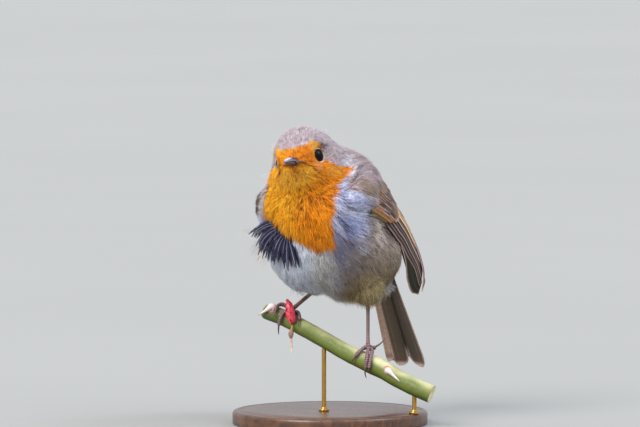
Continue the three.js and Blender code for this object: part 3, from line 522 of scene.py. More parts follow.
    org = blend(org, srgb(168, 112, 36), 0.45 * low)
    tip = blend(tip, org, o)
    root = blend(root, blend(np.broadcast_to(C["orange_root"], shape + (3,)), C["orange"], 0.35 * ramp(-az, -5, 20)), o)
    # dark lines where the feathers of the face part: painted shade in the creases
    for line, wide in ((MALAR, 0.5), (CHEEK_FOLD, 0.45), (RIGHT_FOLD, 0.95)):
        dl, sh = seg_distance(h, line)
        w = ramp(dl + 0.25 * fine, wide + 0.35, wide * 0.4) * (0.35 + 0.65 * ramp(np.abs(sh - 0.5), 0.5, 0.25))
        tip = blend(tip, srgb(112, 50, 14) if wide < 0.9 else srgb(92, 48, 40), (0.7 if wide < 0.9 else 0.95) * w)
        root = blend(root, srgb(60, 26, 10), w)
    # painted shade under the brow: a dark line just above the left eye
    w = ramp(seg_distance(h, [(11.6, 2.2, 2.6), (12.6, 0.6, 2.4), (13.2, -1.4, 2.0)])[0] + 0.6 * fine + 0.4 * mid, 1.5, 0.5)
    tip = blend(tip, srgb(84, 70, 80), 0.75 * w * (l > 0))
    lores = np.sqrt((np.abs(l) - 7.1) ** 2 + (f - 11.9) ** 2 + ((u + 0.4) / 1.8) ** 2)
    tip = blend(tip, srgb(120, 62, 16), 0.45 * ramp(lores + 0.6 * fine, 1.6, 0.4))
    # narrow pale ring round each eye, widest behind and below; round the right eye, on the far side of the head, the
    # ring is painted dark except behind, as painted shade
    e, behind, below = eye_distance(p)
    pale = ramp(behind + 0.8 * below, -0.5, 1.3)[..., None]
    w = ramp(e - 0.10 * ramp(behind, -0.5, 1.5) - 0.05 * ramp(below, 0, 2), 3.28, 3.12)
    ring = srgb(150, 84, 30) * (l > 0)[..., None] + srgb(34, 22, 20) * (l <= 0)[..., None]
    ring = ring * (1 - pale) + (C["ring"] * (l > 0)[..., None] + srgb(60, 40, 34) * (l <= 0)[..., None] * (f > 1.5)[..., None] + C["ring"] * ((l <= 0) & (f <= 1.5))[..., None]) * pale
    tip = blend(tip, ring, 0.9 * w)
    root = blend(root, ring * 0.7, w)
    shade = 1 + 0.10 * mid + 0.07 * fine
    return np.clip(tip * shade[..., None], 0, 0.97), root * shade[..., None]


def flecks(p):
    """Share of the feathers at p that are dark, and that are pale."""
    az, z = body_az(p), p[..., 2]
    aaz = np.abs(az)
    l, f, u = in_head(p)
    head = ramp(np.sqrt(l * l + f * f + u * u), 19, 16) * ramp(u, -12, -8)
    o = orange_share(p)
    dark = 0.05 + 0.10 * ramp(aaz, 40, 50) * ramp(z, 96, 88) + 0.05 * head
    pale = 0.08 + 0.16 * ramp(aaz, 32, 38) * ramp(aaz, 72, 60) * ramp(z, 86, 90) + 0.12 * head
    pale = pale + 0.08 * ramp(aaz, 50, 30) * ramp(z, 86, 78)
    dark = dark * (1 - o) + o * (0.05 + 0.12 * ramp(noise(p, 5, 0), 0.0, 0.5))
    pale = pale * (1 - o) + o * 0.14
    return dark, pale


# ---------------------------------------------------------------- lie of the coat
BILL_ROOT = head_point(0, 13.5, -3.0)


def lie(p, n):
    """Direction in which the feathers at p point, along the surface with normal n."""
    away = unit(p - BILL_ROOT)
    l, f, u = in_head(p)
    r = np.sqrt(l * l + f * f + u * u)
    x, y, z = p[..., 0], p[..., 1], p[..., 2]
    az = body_az(p)
    aaz = np.abs(az)
    body = np.array([0, 0.55, -0.83]) + np.multiply.outer(ramp(y, 5, 25), np.array([0.0, -0.1, -0.07]))
    body = body + np.multiply.outer(ramp(z, 106, 112) * 0.3 * np.sign(x) * ramp(np.abs(x), 6, 14), np.array([1.0, 0, 0]))
    # round the flanks the feathers sweep back under the wing
    a = np.radians(az)
    s = np.where(az >= 0, 1.0, -1.0)
    back = np.stack([s * np.cos(a), s * np.sin(a), 0 * a], -1)
    level = np.interp(z, [56, 64, 74, 84, 90, 97, 106, 114], [0.30, 0.42, 0.75, 0.95, 1.15, 1.5, 1.3, 0.9])
    sweep_dir = unit(back * level[..., None] + np.array([0, 0, -1.0]) * np.interp(z, [84, 92, 98, 108], [0.85, 0.5, 0.25, 0.45])[..., None])
    body = blend(unit(body), sweep_dir, ramp(aaz, 26, 48) * ramp(aaz, 125, 100) * ramp(z, 57, 66))
    # along the folded wing over its bend
    w = ramp(np.abs(x), 14.5, 20.5) * ramp(z + 0.42 * (y + 12), 97, 106) * ramp(y, -18, -10)
    body = blend(body, np.broadcast_to(unit(np.array([0.0, 0.80, -0.60])), body.shape), w)
    w = ramp(r, 30, 16) * ramp(u, -26, -12)
    d = blend(unit(body), away, w)
    d = d - n * np.sum(d * n, -1, keepdims=True)
    return unit(d)

# ---------------------------------------------------------------- meshes
class Bag:
    """Joined closed shapes that become one mesh, with colours and the OFBake map."""

    def __init__(self):
        self.v, self.t, self.q, self.n = [], [], [], 0
        self.col, self.uv, self.nor, self.vane = [], [], [], []

    def add(self, v, t=None, q=None, col=None, uv=None, nor=None, vane=None):
        v = np.asarray(v, float).reshape(-1, 3)
        if t is not None and len(t):
            self.t.append(np.asarray(t, np.int64).reshape(-1, 3) + self.n)
        if q is not None and len(q):
            self.q.append(np.asarray(q, np.int64).reshape(-1, 4) + self.n)
        self.v.append(v)
        m = len(v)
        self.col.append(np.broadcast_to(np.asarray((0.5, 0.5, 0.5) if col is None else col, float), (m, 3)))
        if uv is not None:
            self.uv.append(np.asarray(uv, float).reshape(-1, 2))
        if nor is not None:
            self.nor.append(np.asarray(nor, float).reshape(-1, 3))
        if vane is not None:
            self.vane.append(np.asarray(vane, float).reshape(-1, 3))
        self.n += m

    def build(self, name, mat, loop_uv=None):
        v = np.concatenate(self.v) * 0.001
        t = np.concatenate(self.t) if self.t else np.zeros((0, 3), np.int64)
        q = np.concatenate(self.q) if self.q else np.zeros((0, 4), np.int64)
        me = bpy.data.meshes.new(name)
        me.vertices.add(len(v))
        me.vertices.foreach_set("co", v.astype(np.float32).ravel())
        loops = np.concatenate([t.ravel(), q.ravel()])
        me.loops.add(len(loops))
        me.loops.foreach_set("vertex_index", loops.astype(np.int32))
        starts = np.concatenate([np.arange(len(t)) * 3, len(t) * 3 + np.arange(len(q)) * 4])
        me.polygons.add(len(starts))
        me.polygons.foreach_set("loop_start", starts.astype(np.int32))
        me.update(calc_edges=True)
        me.shade_smooth()
        c = np.concatenate(self.col)
        a = me.color_attributes.new("Col", "FLOAT_COLOR", "POINT")
        rgba = np.ones((len(v), 4), np.float32)
        rgba[:, :3] = np.clip(c, 0, 1)
        a.data.foreach_set("color", rgba.ravel())
        if self.vane:
            a = me.attributes.new("vane", "FLOAT_VECTOR", "POINT")
            a.data.foreach_set("vector", np.concatenate(self.vane).astype(np.float32).ravel())
        if self.uv:
            uv = np.concatenate(self.uv)
            layer = me.uv_layers.new(name="OFBake")
            w = uv[loops]
            if loop_uv == "seam":  # faces that cross the seam keep together
                nt = len(t) * 3
                for part, k in ((w[:nt].reshape(-1, 3, 2), 3), (w[nt:].reshape(-1, 4, 2), 4)):
                    if len(part):
                        wide = part[..., 0].max(1) - part[..., 0].min(1) > 0.4
                        fix = wide[:, None] & (part[..., 0] < 0.5)
                        part[..., 0] += fix * UV_SPAN
            layer.data.foreach_set("uv", w.astype(np.float32).ravel())
        if self.nor:
            me.normals_split_custom_set_from_vertices(unit(np.concatenate(self.nor)).astype(np.float32))
        o = bpy.data.objects.new(name, me)
        bpy.context.scene.collection.objects.link(o)
        o.data.materials.append(mat)
        return o


def volume(v, t, q):
    tri = [t] if t is not None and len(t) else []
    if q is not None and len(q):
        tri += [q[:, [0, 1, 2]], q[:, [0, 2, 3]]]
    tri = np.concatenate(tri)
    a, b, c = v[tri[:, 0]], v[tri[:, 1]], v[tri[:, 2]]
    return float(np.sum(a * np.cross(b, c)) / 6)


def closed(v, t, q):
    """The faces turned outwards."""
    v = np.asarray(v, float).reshape(-1, 3)
    t = None if t is None else np.asarray(t)
    q = None if q is None else np.asarray(q)
    if volume(v - v.mean(0), t, q) < 0:
        t = None if t is None else t[:, ::-1]
        q = None if q is None else q[:, ::-1]
    return v, t, q


def loft(rings):
    """Closed surface through rings (n, m, 3) with a fan at each end: vertices, triangles, quads, and each vertex's ring and place."""
    rings = np.asarray(rings, float)
    n, m = rings.shape[:2]
    v = rings.reshape(-1, 3)
    i, j = np.meshgrid(np.arange(n - 1), np.arange(m), indexing="ij")
    a, b = i * m + j, i * m + (j + 1) % m
    q = np.stack([a, b, b + m, a + m], -1).reshape(-1, 4)
    ends = np.stack([rings[0].mean(0), rings[-1].mean(0)])
    v = np.concatenate([v, ends])
    k = np.arange(m)
    c0, c1 = n * m, n * m + 1
    t = np.concatenate(
        [
            np.stack([np.full(m, c0), (k + 1) % m, k], -1),
            np.stack([np.full(m, c1), (n - 1) * m + k, (n - 1) * m + (k + 1) % m], -1),
        ]
    )
    row = np.concatenate([np.repeat(np.arange(n), m), [0, n - 1]]) / (n - 1)
    ang = np.concatenate([np.tile(np.arange(m), n), [0, 0]]) / m
    v, t, q = closed(v, t, q)
    return v, t, q, row, ang


def frames(c):
    """Tangent, side and other directions along a centre line, without twist."""
    d = unit(np.gradient(c, axis=0))
    side = np.array([1.0, 0, 0]) if abs(d[0][2]) > 0.8 else np.array([0, 0, 1.0])
    s = []
    for k in range(len(c)):
        side = side - d[k] * (side @ d[k])
        side = side / np.linalg.norm(side)
        s.append(side)
    s = np.array(s)
    return d, s, np.cross(d, s)


def curve(points, n):
    points = np.asarray(points, float)
    a = np.linspace(0, len(points) - 1, n)
    return spline(points, a)


# ---------------------------------------------------------------- materials
def mat_new(name):
    m = bpy.data.materials.new(name)
    m.use_nodes = True
    nt = m.node_tree
    nt.nodes.clear()
    out = nt.nodes.new("ShaderNodeOutputMaterial")
    p = nt.nodes.new("ShaderNodeBsdfPrincipled")
    nt.links.new(p.outputs[0], out.inputs[0])
    return m, nt, p


def node(nt, kind, **kw):
    n = nt.nodes.new("ShaderNode" + kind)
    for k, v in kw.items():
        if k in n.inputs:
            n.inputs[k].default_value = v
        else:
            setattr(n, k, v)
    return n


def noise_node(nt, scale, detail=3.0, rough=0.55, vector=None, distortion=0.0):
    n = node(nt, "TexNoise")
    n.inputs["Scale"].default_value = scale
    n.inputs["Detail"].default_value = detail
    n.inputs["Roughness"].default_value = rough
    n.inputs["Distortion"].default_value = distortion
    if vector is None:
        vector = node(nt, "TexCoord").outputs["Object"]
    nt.links.new(vector, n.inputs["Vector"])
    return n


def ranged(nt, value, lo, hi, a=0.3, b=0.7):
    n = node(nt, "MapRange")
    nt.links.new(value, n.inputs["Value"])
    for k, x in zip(("From Min", "From Max", "To Min", "To Max"), (a, b, lo, hi)):
        n.inputs[k].default_value = x
    return n.outputs[0]


def mix_color(nt, a, b, fac, blend="MIX"):
    n = node(nt, "Mix", data_type="RGBA", blend_type=blend)
    n.clamp_factor = True
    for sock, v in ((n.inputs[6], a), (n.inputs[7], b), (n.inputs[0], fac)):
        if hasattr(v, "is_output") or isinstance(v, bpy.types.NodeSocket):
            nt.links.new(v, sock)
        elif sock == n.inputs[0]:
            sock.default_value = v
        else:
            sock.default_value = (*v, 1.0)
    return n.outputs[2]


def scaled_color(nt, col, value):
    """col times a grey factor."""
    n = node(nt, "VectorMath", operation="SCALE")
    nt.links.new(col, n.inputs[0])
    nt.links.new(value, n.inputs["Scale"])
    return n.outputs[0]


def bump(nt, p, height, strength, distance):
    b = node(nt, "Bump")
    b.inputs["Strength"].default_value = strength
    b.inputs["Distance"].default_value = distance
    nt.links.new(height, b.inputs["Height"])
    nt.links.new(b.outputs[0], p.inputs["Normal"])


def col_attribute(nt):
    return node(nt, "Attribute", attribute_name="Col").outputs["Color"]


def feather_material(name, rough=(0.5, 0.75), sheen=0.2, spec=0.25, barbs=False, var=(0.86, 1.12)):
    m, nt, p = mat_new(name)
    col = col_attribute(nt)
    n1 = noise_node(nt, 900, 3)
    col = scaled_color(nt, col, ranged(nt, n1.outputs[0], *var))
    if barbs:
        at = node(nt, "Attribute", attribute_name="vane")
        w = noise_node(nt, 1.0, 2.0, 0.6, at.outputs["Vector"])
        col = scaled_color(nt, col, ranged(nt, w.outputs[0], 0.72, 1.22))
        bump(nt, p, w.outputs[0], 0.35, 0.00006)
    else:
        n2 = noise_node(nt, 5200, 2)
        bump(nt, p, n2.outputs[0], 0.25, 0.00005)
    nt.links.new(col, p.inputs["Base Color"])
    nt.links.new(ranged(nt, n1.outputs[0], *rough), p.inputs["Roughness"])
    p.inputs["Specular IOR Level"].default_value = spec
    p.inputs["Sheen Weight"].default_value = sheen
    p.inputs["Sheen Roughness"].default_value = 0.5
    return m


MAT_COAT = feather_material("plumage_body", sheen=0.04, spec=0.16)
MAT_SKIN = feather_material("plumage_down", rough=(0.7, 0.9), sheen=0.1)
MAT_WING = feather_material("plumage_wing", rough=(0.5, 0.68), sheen=0.0, spec=0.18, barbs=True)
MAT_TAIL = feather_material("plumage_tail", rough=(0.42, 0.6), sheen=0.08, spec=0.35, barbs=True)


def horn_material(name, rough, spec, scale, strength, distance, var=(0.82, 1.15), coat=0.0):
    m, nt, p = mat_new(name)
    n1 = noise_node(nt, scale, 4)
    nt.links.new(scaled_color(nt, col_attribute(nt), ranged(nt, n1.outputs[0], *var)), p.inputs["Base Color"])
    nt.links.new(ranged(nt, n1.outputs[0], *rough), p.inputs["Roughness"])
    p.inputs["Specular IOR Level"].default_value = spec
    p.inputs["Coat Weight"].default_value = coat
    p.inputs["Coat Roughness"].default_value = 0.25
    n2 = noise_node(nt, scale * 3.1, 3)
    bump(nt, p, n2.outputs[0], strength, distance)
    return m


MAT_BILL = horn_material("bill_horn", (0.26, 0.42), 0.6, 700, 0.2, 0.00005)
MAT_LEG = horn_material("leg_scales", (0.3, 0.5), 0.55, 1500, 0.3, 0.00005)
MAT_CLAW = horn_material("claw_horn", (0.24, 0.4), 0.6, 1200, 0.2, 0.00004)
MAT_EYE = horn_material("eye_wet", (0.02, 0.05), 0.13, 900, 0.02, 0.00001)

# ---------------------------------------------------------------- the body as sampled fields
POINTS = sample_points()
BODY_FIELD = flesh(POINTS)


def belly_tuck(p):
    """Share by which the plumage is drawn up under the belly, beside the right leg."""
    across = 0.8 * p[..., 0] + 0.6 * p[..., 1]
    return np.exp(-(((across + 5.0) / 6.3) ** 4)) * ramp(p[..., 2], 67, 57)


BODY_FIELD = BODY_FIELD + 3.2 * belly_tuck(POINTS)
SHOULDERS = shoulder_field(POINTS, BODY_FIELD)
for at, wide, high in ((( -19.6, -21.2, 105.4), 8.5, 1.5), ((-13.5, -26.0, 109.5), 5.5, 0.5), ((24.0, 14.0, 74.5), 8.5, 1.9), ((0.0, 22.0, 109.5), 11.0, 1.3), ((11.0, 19.0, 106.0), 9.0, 0.8), ((-11.0, 19.0, 106.0), 9.0, 0.8), ((-22.5, -14.5, 98.5), 6.5, 1.3), ((20.3, -17.8, 103.2), 4.8, 1.1)):  # fluffed out side of the neck
    SHOULDERS = SHOULDERS - high * np.exp(-(np.sum((POINTS - np.array(at)) ** 2, -1) / wide**2))
COAT = with_gradient(SHOULDERS)
SKIN_VALUES = BODY_FIELD + coat_depth(POINTS)
SWELL = ramp(BODY_FIELD - SHOULDERS, 0.4, 2.2)
DEPTH_VALUES = coat_depth(POINTS) * (1 - 0.55 * SWELL)
DEPTH = Sampled(FIELD_LOW, FIELD_STEP, DEPTH_VALUES)
ROOT_VALUES = SHOULDERS + DEPTH_VALUES
SKIN = with_gradient(SKIN_VALUES)
UV_LOW, UV_SPAN = 0.04, 0.92


def skin_uv(p):
    """An unwrap of the body's own shape: angle round the upright axis, seam at the back, and height, which on a rounded body keeps areas even."""
    a = np.arctan2(p[..., 0], -(p[..., 1] - 4)) / (2 * np.pi) + 0.5
    t = np.clip((p[..., 2] - 50) / (134 - 50), 0, 1)
    return np.stack([UV_LOW + UV_SPAN * a, UV_LOW + UV_SPAN * t], -1)


def surface_nets(v):
    """Closed quads where the sampled values change sign."""
    inside = v < 0
    n = v.shape
    cnt = np.zeros(tuple(x - 1 for x in n), np.int8)
    for a in (0, 1):
        for b in (0, 1):
            for c in (0, 1):
                cnt += inside[a : n[0] - 1 + a, b : n[1] - 1 + b, c : n[2] - 1 + c]
    idx = np.argwhere((cnt > 0) & (cnt < 8))
    number = -np.ones(cnt.shape, np.int64)
    number[tuple(idx.T)] = np.arange(len(idx))
    corner = np.array([[c & 1, (c >> 1) & 1, c >> 2] for c in range(8)])
    f = np.stack([v[tuple((idx + c).T)] for c in corner], -1)
    total, count = np.zeros((len(idx), 3)), np.zeros(len(idx))
    for a in range(8):
        for bit in (1, 2, 4):
            b = a | bit
            if b == a:
                continue
            cross = (f[:, a] < 0) != (f[:, b] < 0)
            t = np.where(cross, f[:, a] / np.where(cross, f[:, a] - f[:, b], 1), 0)
            total += cross[:, None] * (corner[a] + t[:, None] * (corner[b] - corner[a]))
            count += cross
    pts = FIELD_LOW + FIELD_STEP * (idx + total / count[:, None])
    quads = []
    order = {0: [(0, 0, 0), (0, 1, 0), (0, 1, 1), (0, 0, 1)], 1: [(0, 0, 0), (0, 0, 1), (1, 0, 1), (1, 0, 0)], 2: [(0, 0, 0), (1, 0, 0), (1, 1, 0), (0, 1, 0)]}
    for axis in range(3):
        sl0 = [slice(1, n[k] - 1) for k in range(3)]
        sl1 = list(sl0)
        sl1[axis] = slice(2, n[axis])
        here, there = inside[tuple(sl0)], inside[tuple(sl1)]
        e = np.argwhere(here != there) + 1
        flip = ~inside[tuple(e.T)]
        qd = np.stack([number[tuple((e - np.array(o)).T)] for o in order[axis]], -1)
        qd[flip] = qd[flip][:, ::-1]
        quads.append(qd)
    quads = np.concatenate(quads)
    quads = quads[(quads >= 0).all(1)]
    return pts, quads


def settle(p, field, level=0.0, steps=3):
    for _ in range(steps):
        s = field(p)
        g = s[..., 1:4]
        p = p + g * np.clip((level - s[..., 0]) / np.maximum(np.sum(g * g, -1), 0.05), -2, 2)[..., None]
    return p


# ---------------------------------------------------------------- skin
skin_v, skin_q = surface_nets(SKIN_VALUES)
skin_v = settle(skin_v, SKIN)
skin_v, _, skin_q = closed(skin_v, None, skin_q)
tip_c, root_c = plumage(settle(skin_v, COAT, 0.0, 2))
bag = Bag()
bag.add(skin_v, q=skin_q, col=root_c * 0.6 + tip_c * 0.25, uv=skin_uv(skin_v))
EYE_AXIS = unit(LEFT * 6.15 + FWD * 2.8 + UP * 0.55)
for side in (1, -1):
    axis = unit(side * LEFT * 6.15 + FWD * 2.8 + UP * 0.55)
    centre = head_point(side * EYE["side"], EYE["forward"], EYE["up"])
    fore = unit(FWD - axis * (FWD @ axis))
    up = np.cross(axis, fore) * side
    up = up * np.sign(up @ UP)
    th = np.linspace(0, 2 * np.pi, 48, endpoint=False)
    open_r = 2.98 + 0.14 * np.cos(2 * th)
    mid = np.sqrt(np.maximum(EYE["radius"] ** 2 - open_r**2, 0))
    ring_c = centre + np.outer(mid + 0.08, axis) + (open_r * np.cos(th))[:, None] * fore + (open_r * np.sin(th))[:, None] * up
    rad_dir = unit(ring_c - centre - np.outer(mid, axis))
    ph = np.linspace(0, 2 * np.pi, 10, endpoint=False)
    thick = 0.20 + 0.06 * np.sin(th) ** 2
    v = ring_c[:, None] + rad_dir[:, None] * (0.16 + thick[:, None] * np.cos(ph))[..., None] + axis * (thick[:, None] * 0.9 * np.sin(ph))[..., None]
    i, j = np.meshgrid(np.arange(48), np.arange(10), indexing="ij")
    q = np.stack([i * 10 + j, (i + 1) % 48 * 10 + j, (i + 1) % 48 * 10 + (j + 1) % 10, i * 10 + (j + 1) % 10], -1).reshape(-1, 4)
    v, _, q = closed(v.reshape(-1, 3), None, q)
    lid = np.where((np.cos(ph) < -0.35)[None, :, None], srgb(70, 58, 56), C["ring"]) * np.ones((48, 10, 1))
    bag.add(v, q=q, col=lid.reshape(-1, 3), uv=skin_uv(v))
skin = bag.build("skin", MAT_SKIN, loop_uv="seam")
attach(skin, "root")
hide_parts("trunk", "neck", "head", "thigh_left", "thigh_right")

# ---------------------------------------------------------------- tufts of the coat
root_v, root_q = surface_nets(ROOT_VALUES)
ROOTS = with_gradient(ROOT_VALUES)
root_v = settle(root_v, ROOTS)


def spacing_at(p):
    """Distance between neighbouring tufts."""
    l, f, u = in_head(p)
    r = np.sqrt(l * l + f * f + u * u)
    s = 0.62 + 0.40 * ramp(r, 13, 21)
    face = np.sqrt(l * l + (f - 10) ** 2 + (u + 3) ** 2)
    return np.maximum(s - 0.10 * ramp(face, 9, 4), 0.5)


def scatter(seed=5):
    tri = np.concatenate([root_q[:, [0, 1, 2]], root_q[:, [0, 2, 3]]])
    a, b, c = root_v[tri[:, 0]], root_v[tri[:, 1]], root_v[tri[:, 2]]
    area = 0.5 * np.linalg.norm(np.cross(b - a, c - a), axis=1)
    mid = (a + b + c) / 3
    want = area / spacing_at(mid) ** 2 * 5.0
    r = np.random.default_rng(seed)
    n = int(want.sum())
    k = r.choice(len(tri), n, p=want / want.sum())
    s, t = r.random(n), r.random(n)
    fl = s + t > 1
    s[fl], t[fl] = 1 - s[fl], 1 - t[fl]
    p = a[k] + s[:, None] * (b[k] - a[k]) + t[:, None] * (c[k] - a[k])
    gap = spacing_at(p)
    cell = 1.15
    keys = np.floor(p / cell).astype(int)
    taken, keep = {}, []
    pl, gl, kl = p.tolist(), gap.tolist(), keys.tolist()
    near = [(i, j, m) for i in (-1, 0, 1) for j in (-1, 0, 1) for m in (-1, 0, 1)]
    for q in range(n):
        x, y, z = pl[q]
        g2 = gl[q] ** 2
        kx, ky, kz = kl[q]
        ok = True
        for i, j, m in near:
            for (X, Y, Z) in taken.get((kx + i, ky + j, kz + m), ()):
                if (X - x) ** 2 + (Y - y) ** 2 + (Z - z) ** 2 < g2:
                    ok = False
                    break
            if not ok:
                break
        if ok:
            taken.setdefault((kx, ky, kz), []).append((x, y, z))
            keep.append(q)
    return p[keep]


roots = scatter()
wa, wb = np.meshgrid(np.linspace(2.5, 7.5, 22), np.linspace(0.10, 0.9, 12), indexing="ij")
under = np.concatenate([wing_point(wa, wb, -1.5, s).reshape(-1, 3) for s in (1, -1)])


def hidden(p):
    """Roots well under a folded wing, in the eye, or in the bill."""
    out = np.zeros(len(p), bool)
    for k in range(0, len(p), 2000):
        d = np.linalg.norm(p[k : k + 2000, None] - under[None], axis=2).min(1)
        out[k : k + 2000] = d < 2.6
    deep = BODY_AT(p) < -2.0
    out &= deep | (p[:, 1] > 4)
    l, f, u = in_head(p)
    for side in (1, -1):
        e = np.linalg.norm(p - head_point(side * EYE["side"], EYE["forward"], EYE["up"]), axis=1)
        out |= e < EYE["radius"] + 0.12
        ax = unit(side * LEFT * 6.15 + FWD * 2.8 + UP * 0.55)
        q = p - head_point(side * EYE["side"], EYE["forward"], EYE["up"])
        along = q @ ax
        out |= (along > 0) & (np.linalg.norm(q - np.outer(along, ax), axis=1) < 3.12)
    bill = (np.abs(l) / 2.7) ** 2 + ((u + 2.2) / np.where(u > -2.2, 1.75, 1.45)) ** 2
    gape = seg_distance(np.stack([np.abs(l), f, u], -1), [(2.2, 15.2, -2.3), (3.9, 14.5, -2.6), (4.9, 13.9, -3.0)])[0] < 0.34
    return out | ((bill < 1) & (f > 10)) | gape


BODY_AT = Sampled(FIELD_LOW, FIELD_STEP, BODY_FIELD)
roots = roots[~hidden(roots)]


def lengths(p):
    l, f, u = in_head(p)
    r = np.sqrt(l * l + f * f + u * u)
    L = 2.7 + 4.2 * ramp(r, 14, 25)
    face = np.sqrt(l * l + (f - 13) ** 2 + (u + 2.6) ** 2)
    L = 1.5 + (L - 1.5) * ramp(face, 2.5, 9.5)
    eye = np.sqrt((np.abs(l) - 9.6) ** 2 + (f - 3.6) ** 2 + (u + 1.5) ** 2)
    L = 0.8 + (L - 0.8) * ramp(eye, 3.2, 6.0)
    L = L + 1.6 * ramp(p[..., 2], 74, 64) + 1.4 * ramp(p[..., 1], 14, 26)
    L = L * (1 - 0.3 * ramp(p[..., 1], 12, 20) * ramp(p[..., 2], 96, 100) * ramp(p[..., 2], 116, 110))
    for at, rr, _ in THIGHS:
        L = np.where(np.linalg.norm(p - np.array(at), axis=-1) < max(rr) - 0.5, 4.2, L)
    return L


def tufts(p, strands, rings, seed):
    """Arrays of thin three-sided strands, rooted in tufts at p."""
    r = np.random.default_rng(seed)
    T, S, K = len(p), strands, rings
    s0 = COAT(p)
    n = unit(s0[..., 1:4])
    d = lie(p, n)
    turn = np.radians(9 * noise(p, 7, 1) + 7 * noise(p, 2.4, 2) + r.normal(0, 5, T))
    b = np.cross(n, d)
    d = d * np.cos(turn)[:, None] + b * np.sin(turn)[:, None]
    b = np.cross(n, d)
    L = lengths(p) * r.uniform(0.82, 1.15, T)
    depth = DEPTH(p)
    gap = spacing_at(p)
    half = 0.85 * gap + 0.08 * L
    y = np.linspace(-1, 1, S)[None] + r.uniform(-0.5, 0.5, (T, S)) * (1.6 / S)
    P = p[:, None] + b[:, None] * (y * (0.35 * half)[:, None])[..., None]
    D = np.broadcast_to(d[:, None], P.shape).copy()
    Ls = L[:, None] * (1 - 0.22 * y**2) * r.uniform(0.8, 1.12, (T, S))
    top = -depth[:, None] * r.uniform(0.0, 0.34, (T, 1)) - depth[:, None] * 0.07 * y**2 + r.uniform(-0.15, 0.12, (T, S)) * np.minimum(depth, 1.6)[:, None]
    lift = stand_out(p)
    top = top + lift[:, None] * r.uniform(0.5, 1.0, (T, S))
    wander = np.radians(r.normal(0, 5.5, (T, S)))
    open_deg = np.degrees(np.arctan(1.15 * half / L))[:, None] * y
    turns = [1.5, 0.0, -1.1, -1.2] if K == 3 else [1.2, -0.5, -1.2]
    rise = {3: [0.0, 0.62, 0.92, 1.0], 2: [0.0, 0.78, 1.0]}[K]
    step = {3: [0.30, 0.34, 0.36], 2: [0.46, 0.54]}[K]
    C0, N0 = [P], [np.broadcast_to(n[:, None], P.shape)]
    tang = []
    for k in range(K):
        a = np.radians(open_deg * turns[k] * 0.8) + wander * (1 if k else 0.4)
        nn = N0[-1]
        D = unit(D - nn * np.sum(D * nn, -1, keepdims=True))
        side = np.cross(nn, D)
        D = D * np.cos(a)[..., None] + side * np.sin(a)[..., None]
        tang.append(D)
        P = P + D * (Ls * step[k])[..., None]
        s = COAT(P)
        g = s[..., 1:4]
        g2 = np.maximum(np.sum(g * g, -1), 0.2)
        want = -depth[:, None] * (1 - rise[k + 1]) + top * rise[k + 1] ** 2
        P = P + g * np.clip((want - s[..., 0]) / g2, -4, 4)[..., None]
        C0.append(P)
        N0.append(unit(g))
    centre = np.stack(C0, 2)
    normal = np.stack(N0, 2)
    return dict(centre=centre, normal=normal, half=half, y=y, L=L, root=p, gap=gap, depth=depth)


def stand_out(p):
    """How far the feathers' tips stand clear of the outline."""
    l, f, u = in_head(p)
    lores = np.sqrt((np.abs(l) - 5.5) ** 2 + (f - 11.5) ** 2 + (u - 0.2) ** 2)
    out = 0.45 * ramp(lores, 4.5, 1.5)
    side = ramp(np.abs(body_az(p)), 44, 52) * ramp(np.abs(body_az(p)), 78, 66) * ramp(p[..., 2], 78, 84) * ramp(p[..., 2], 104, 98)
    return out + 0.5 * side * ramp(noise(p, 2.6, 0), 0.0, 0.5)


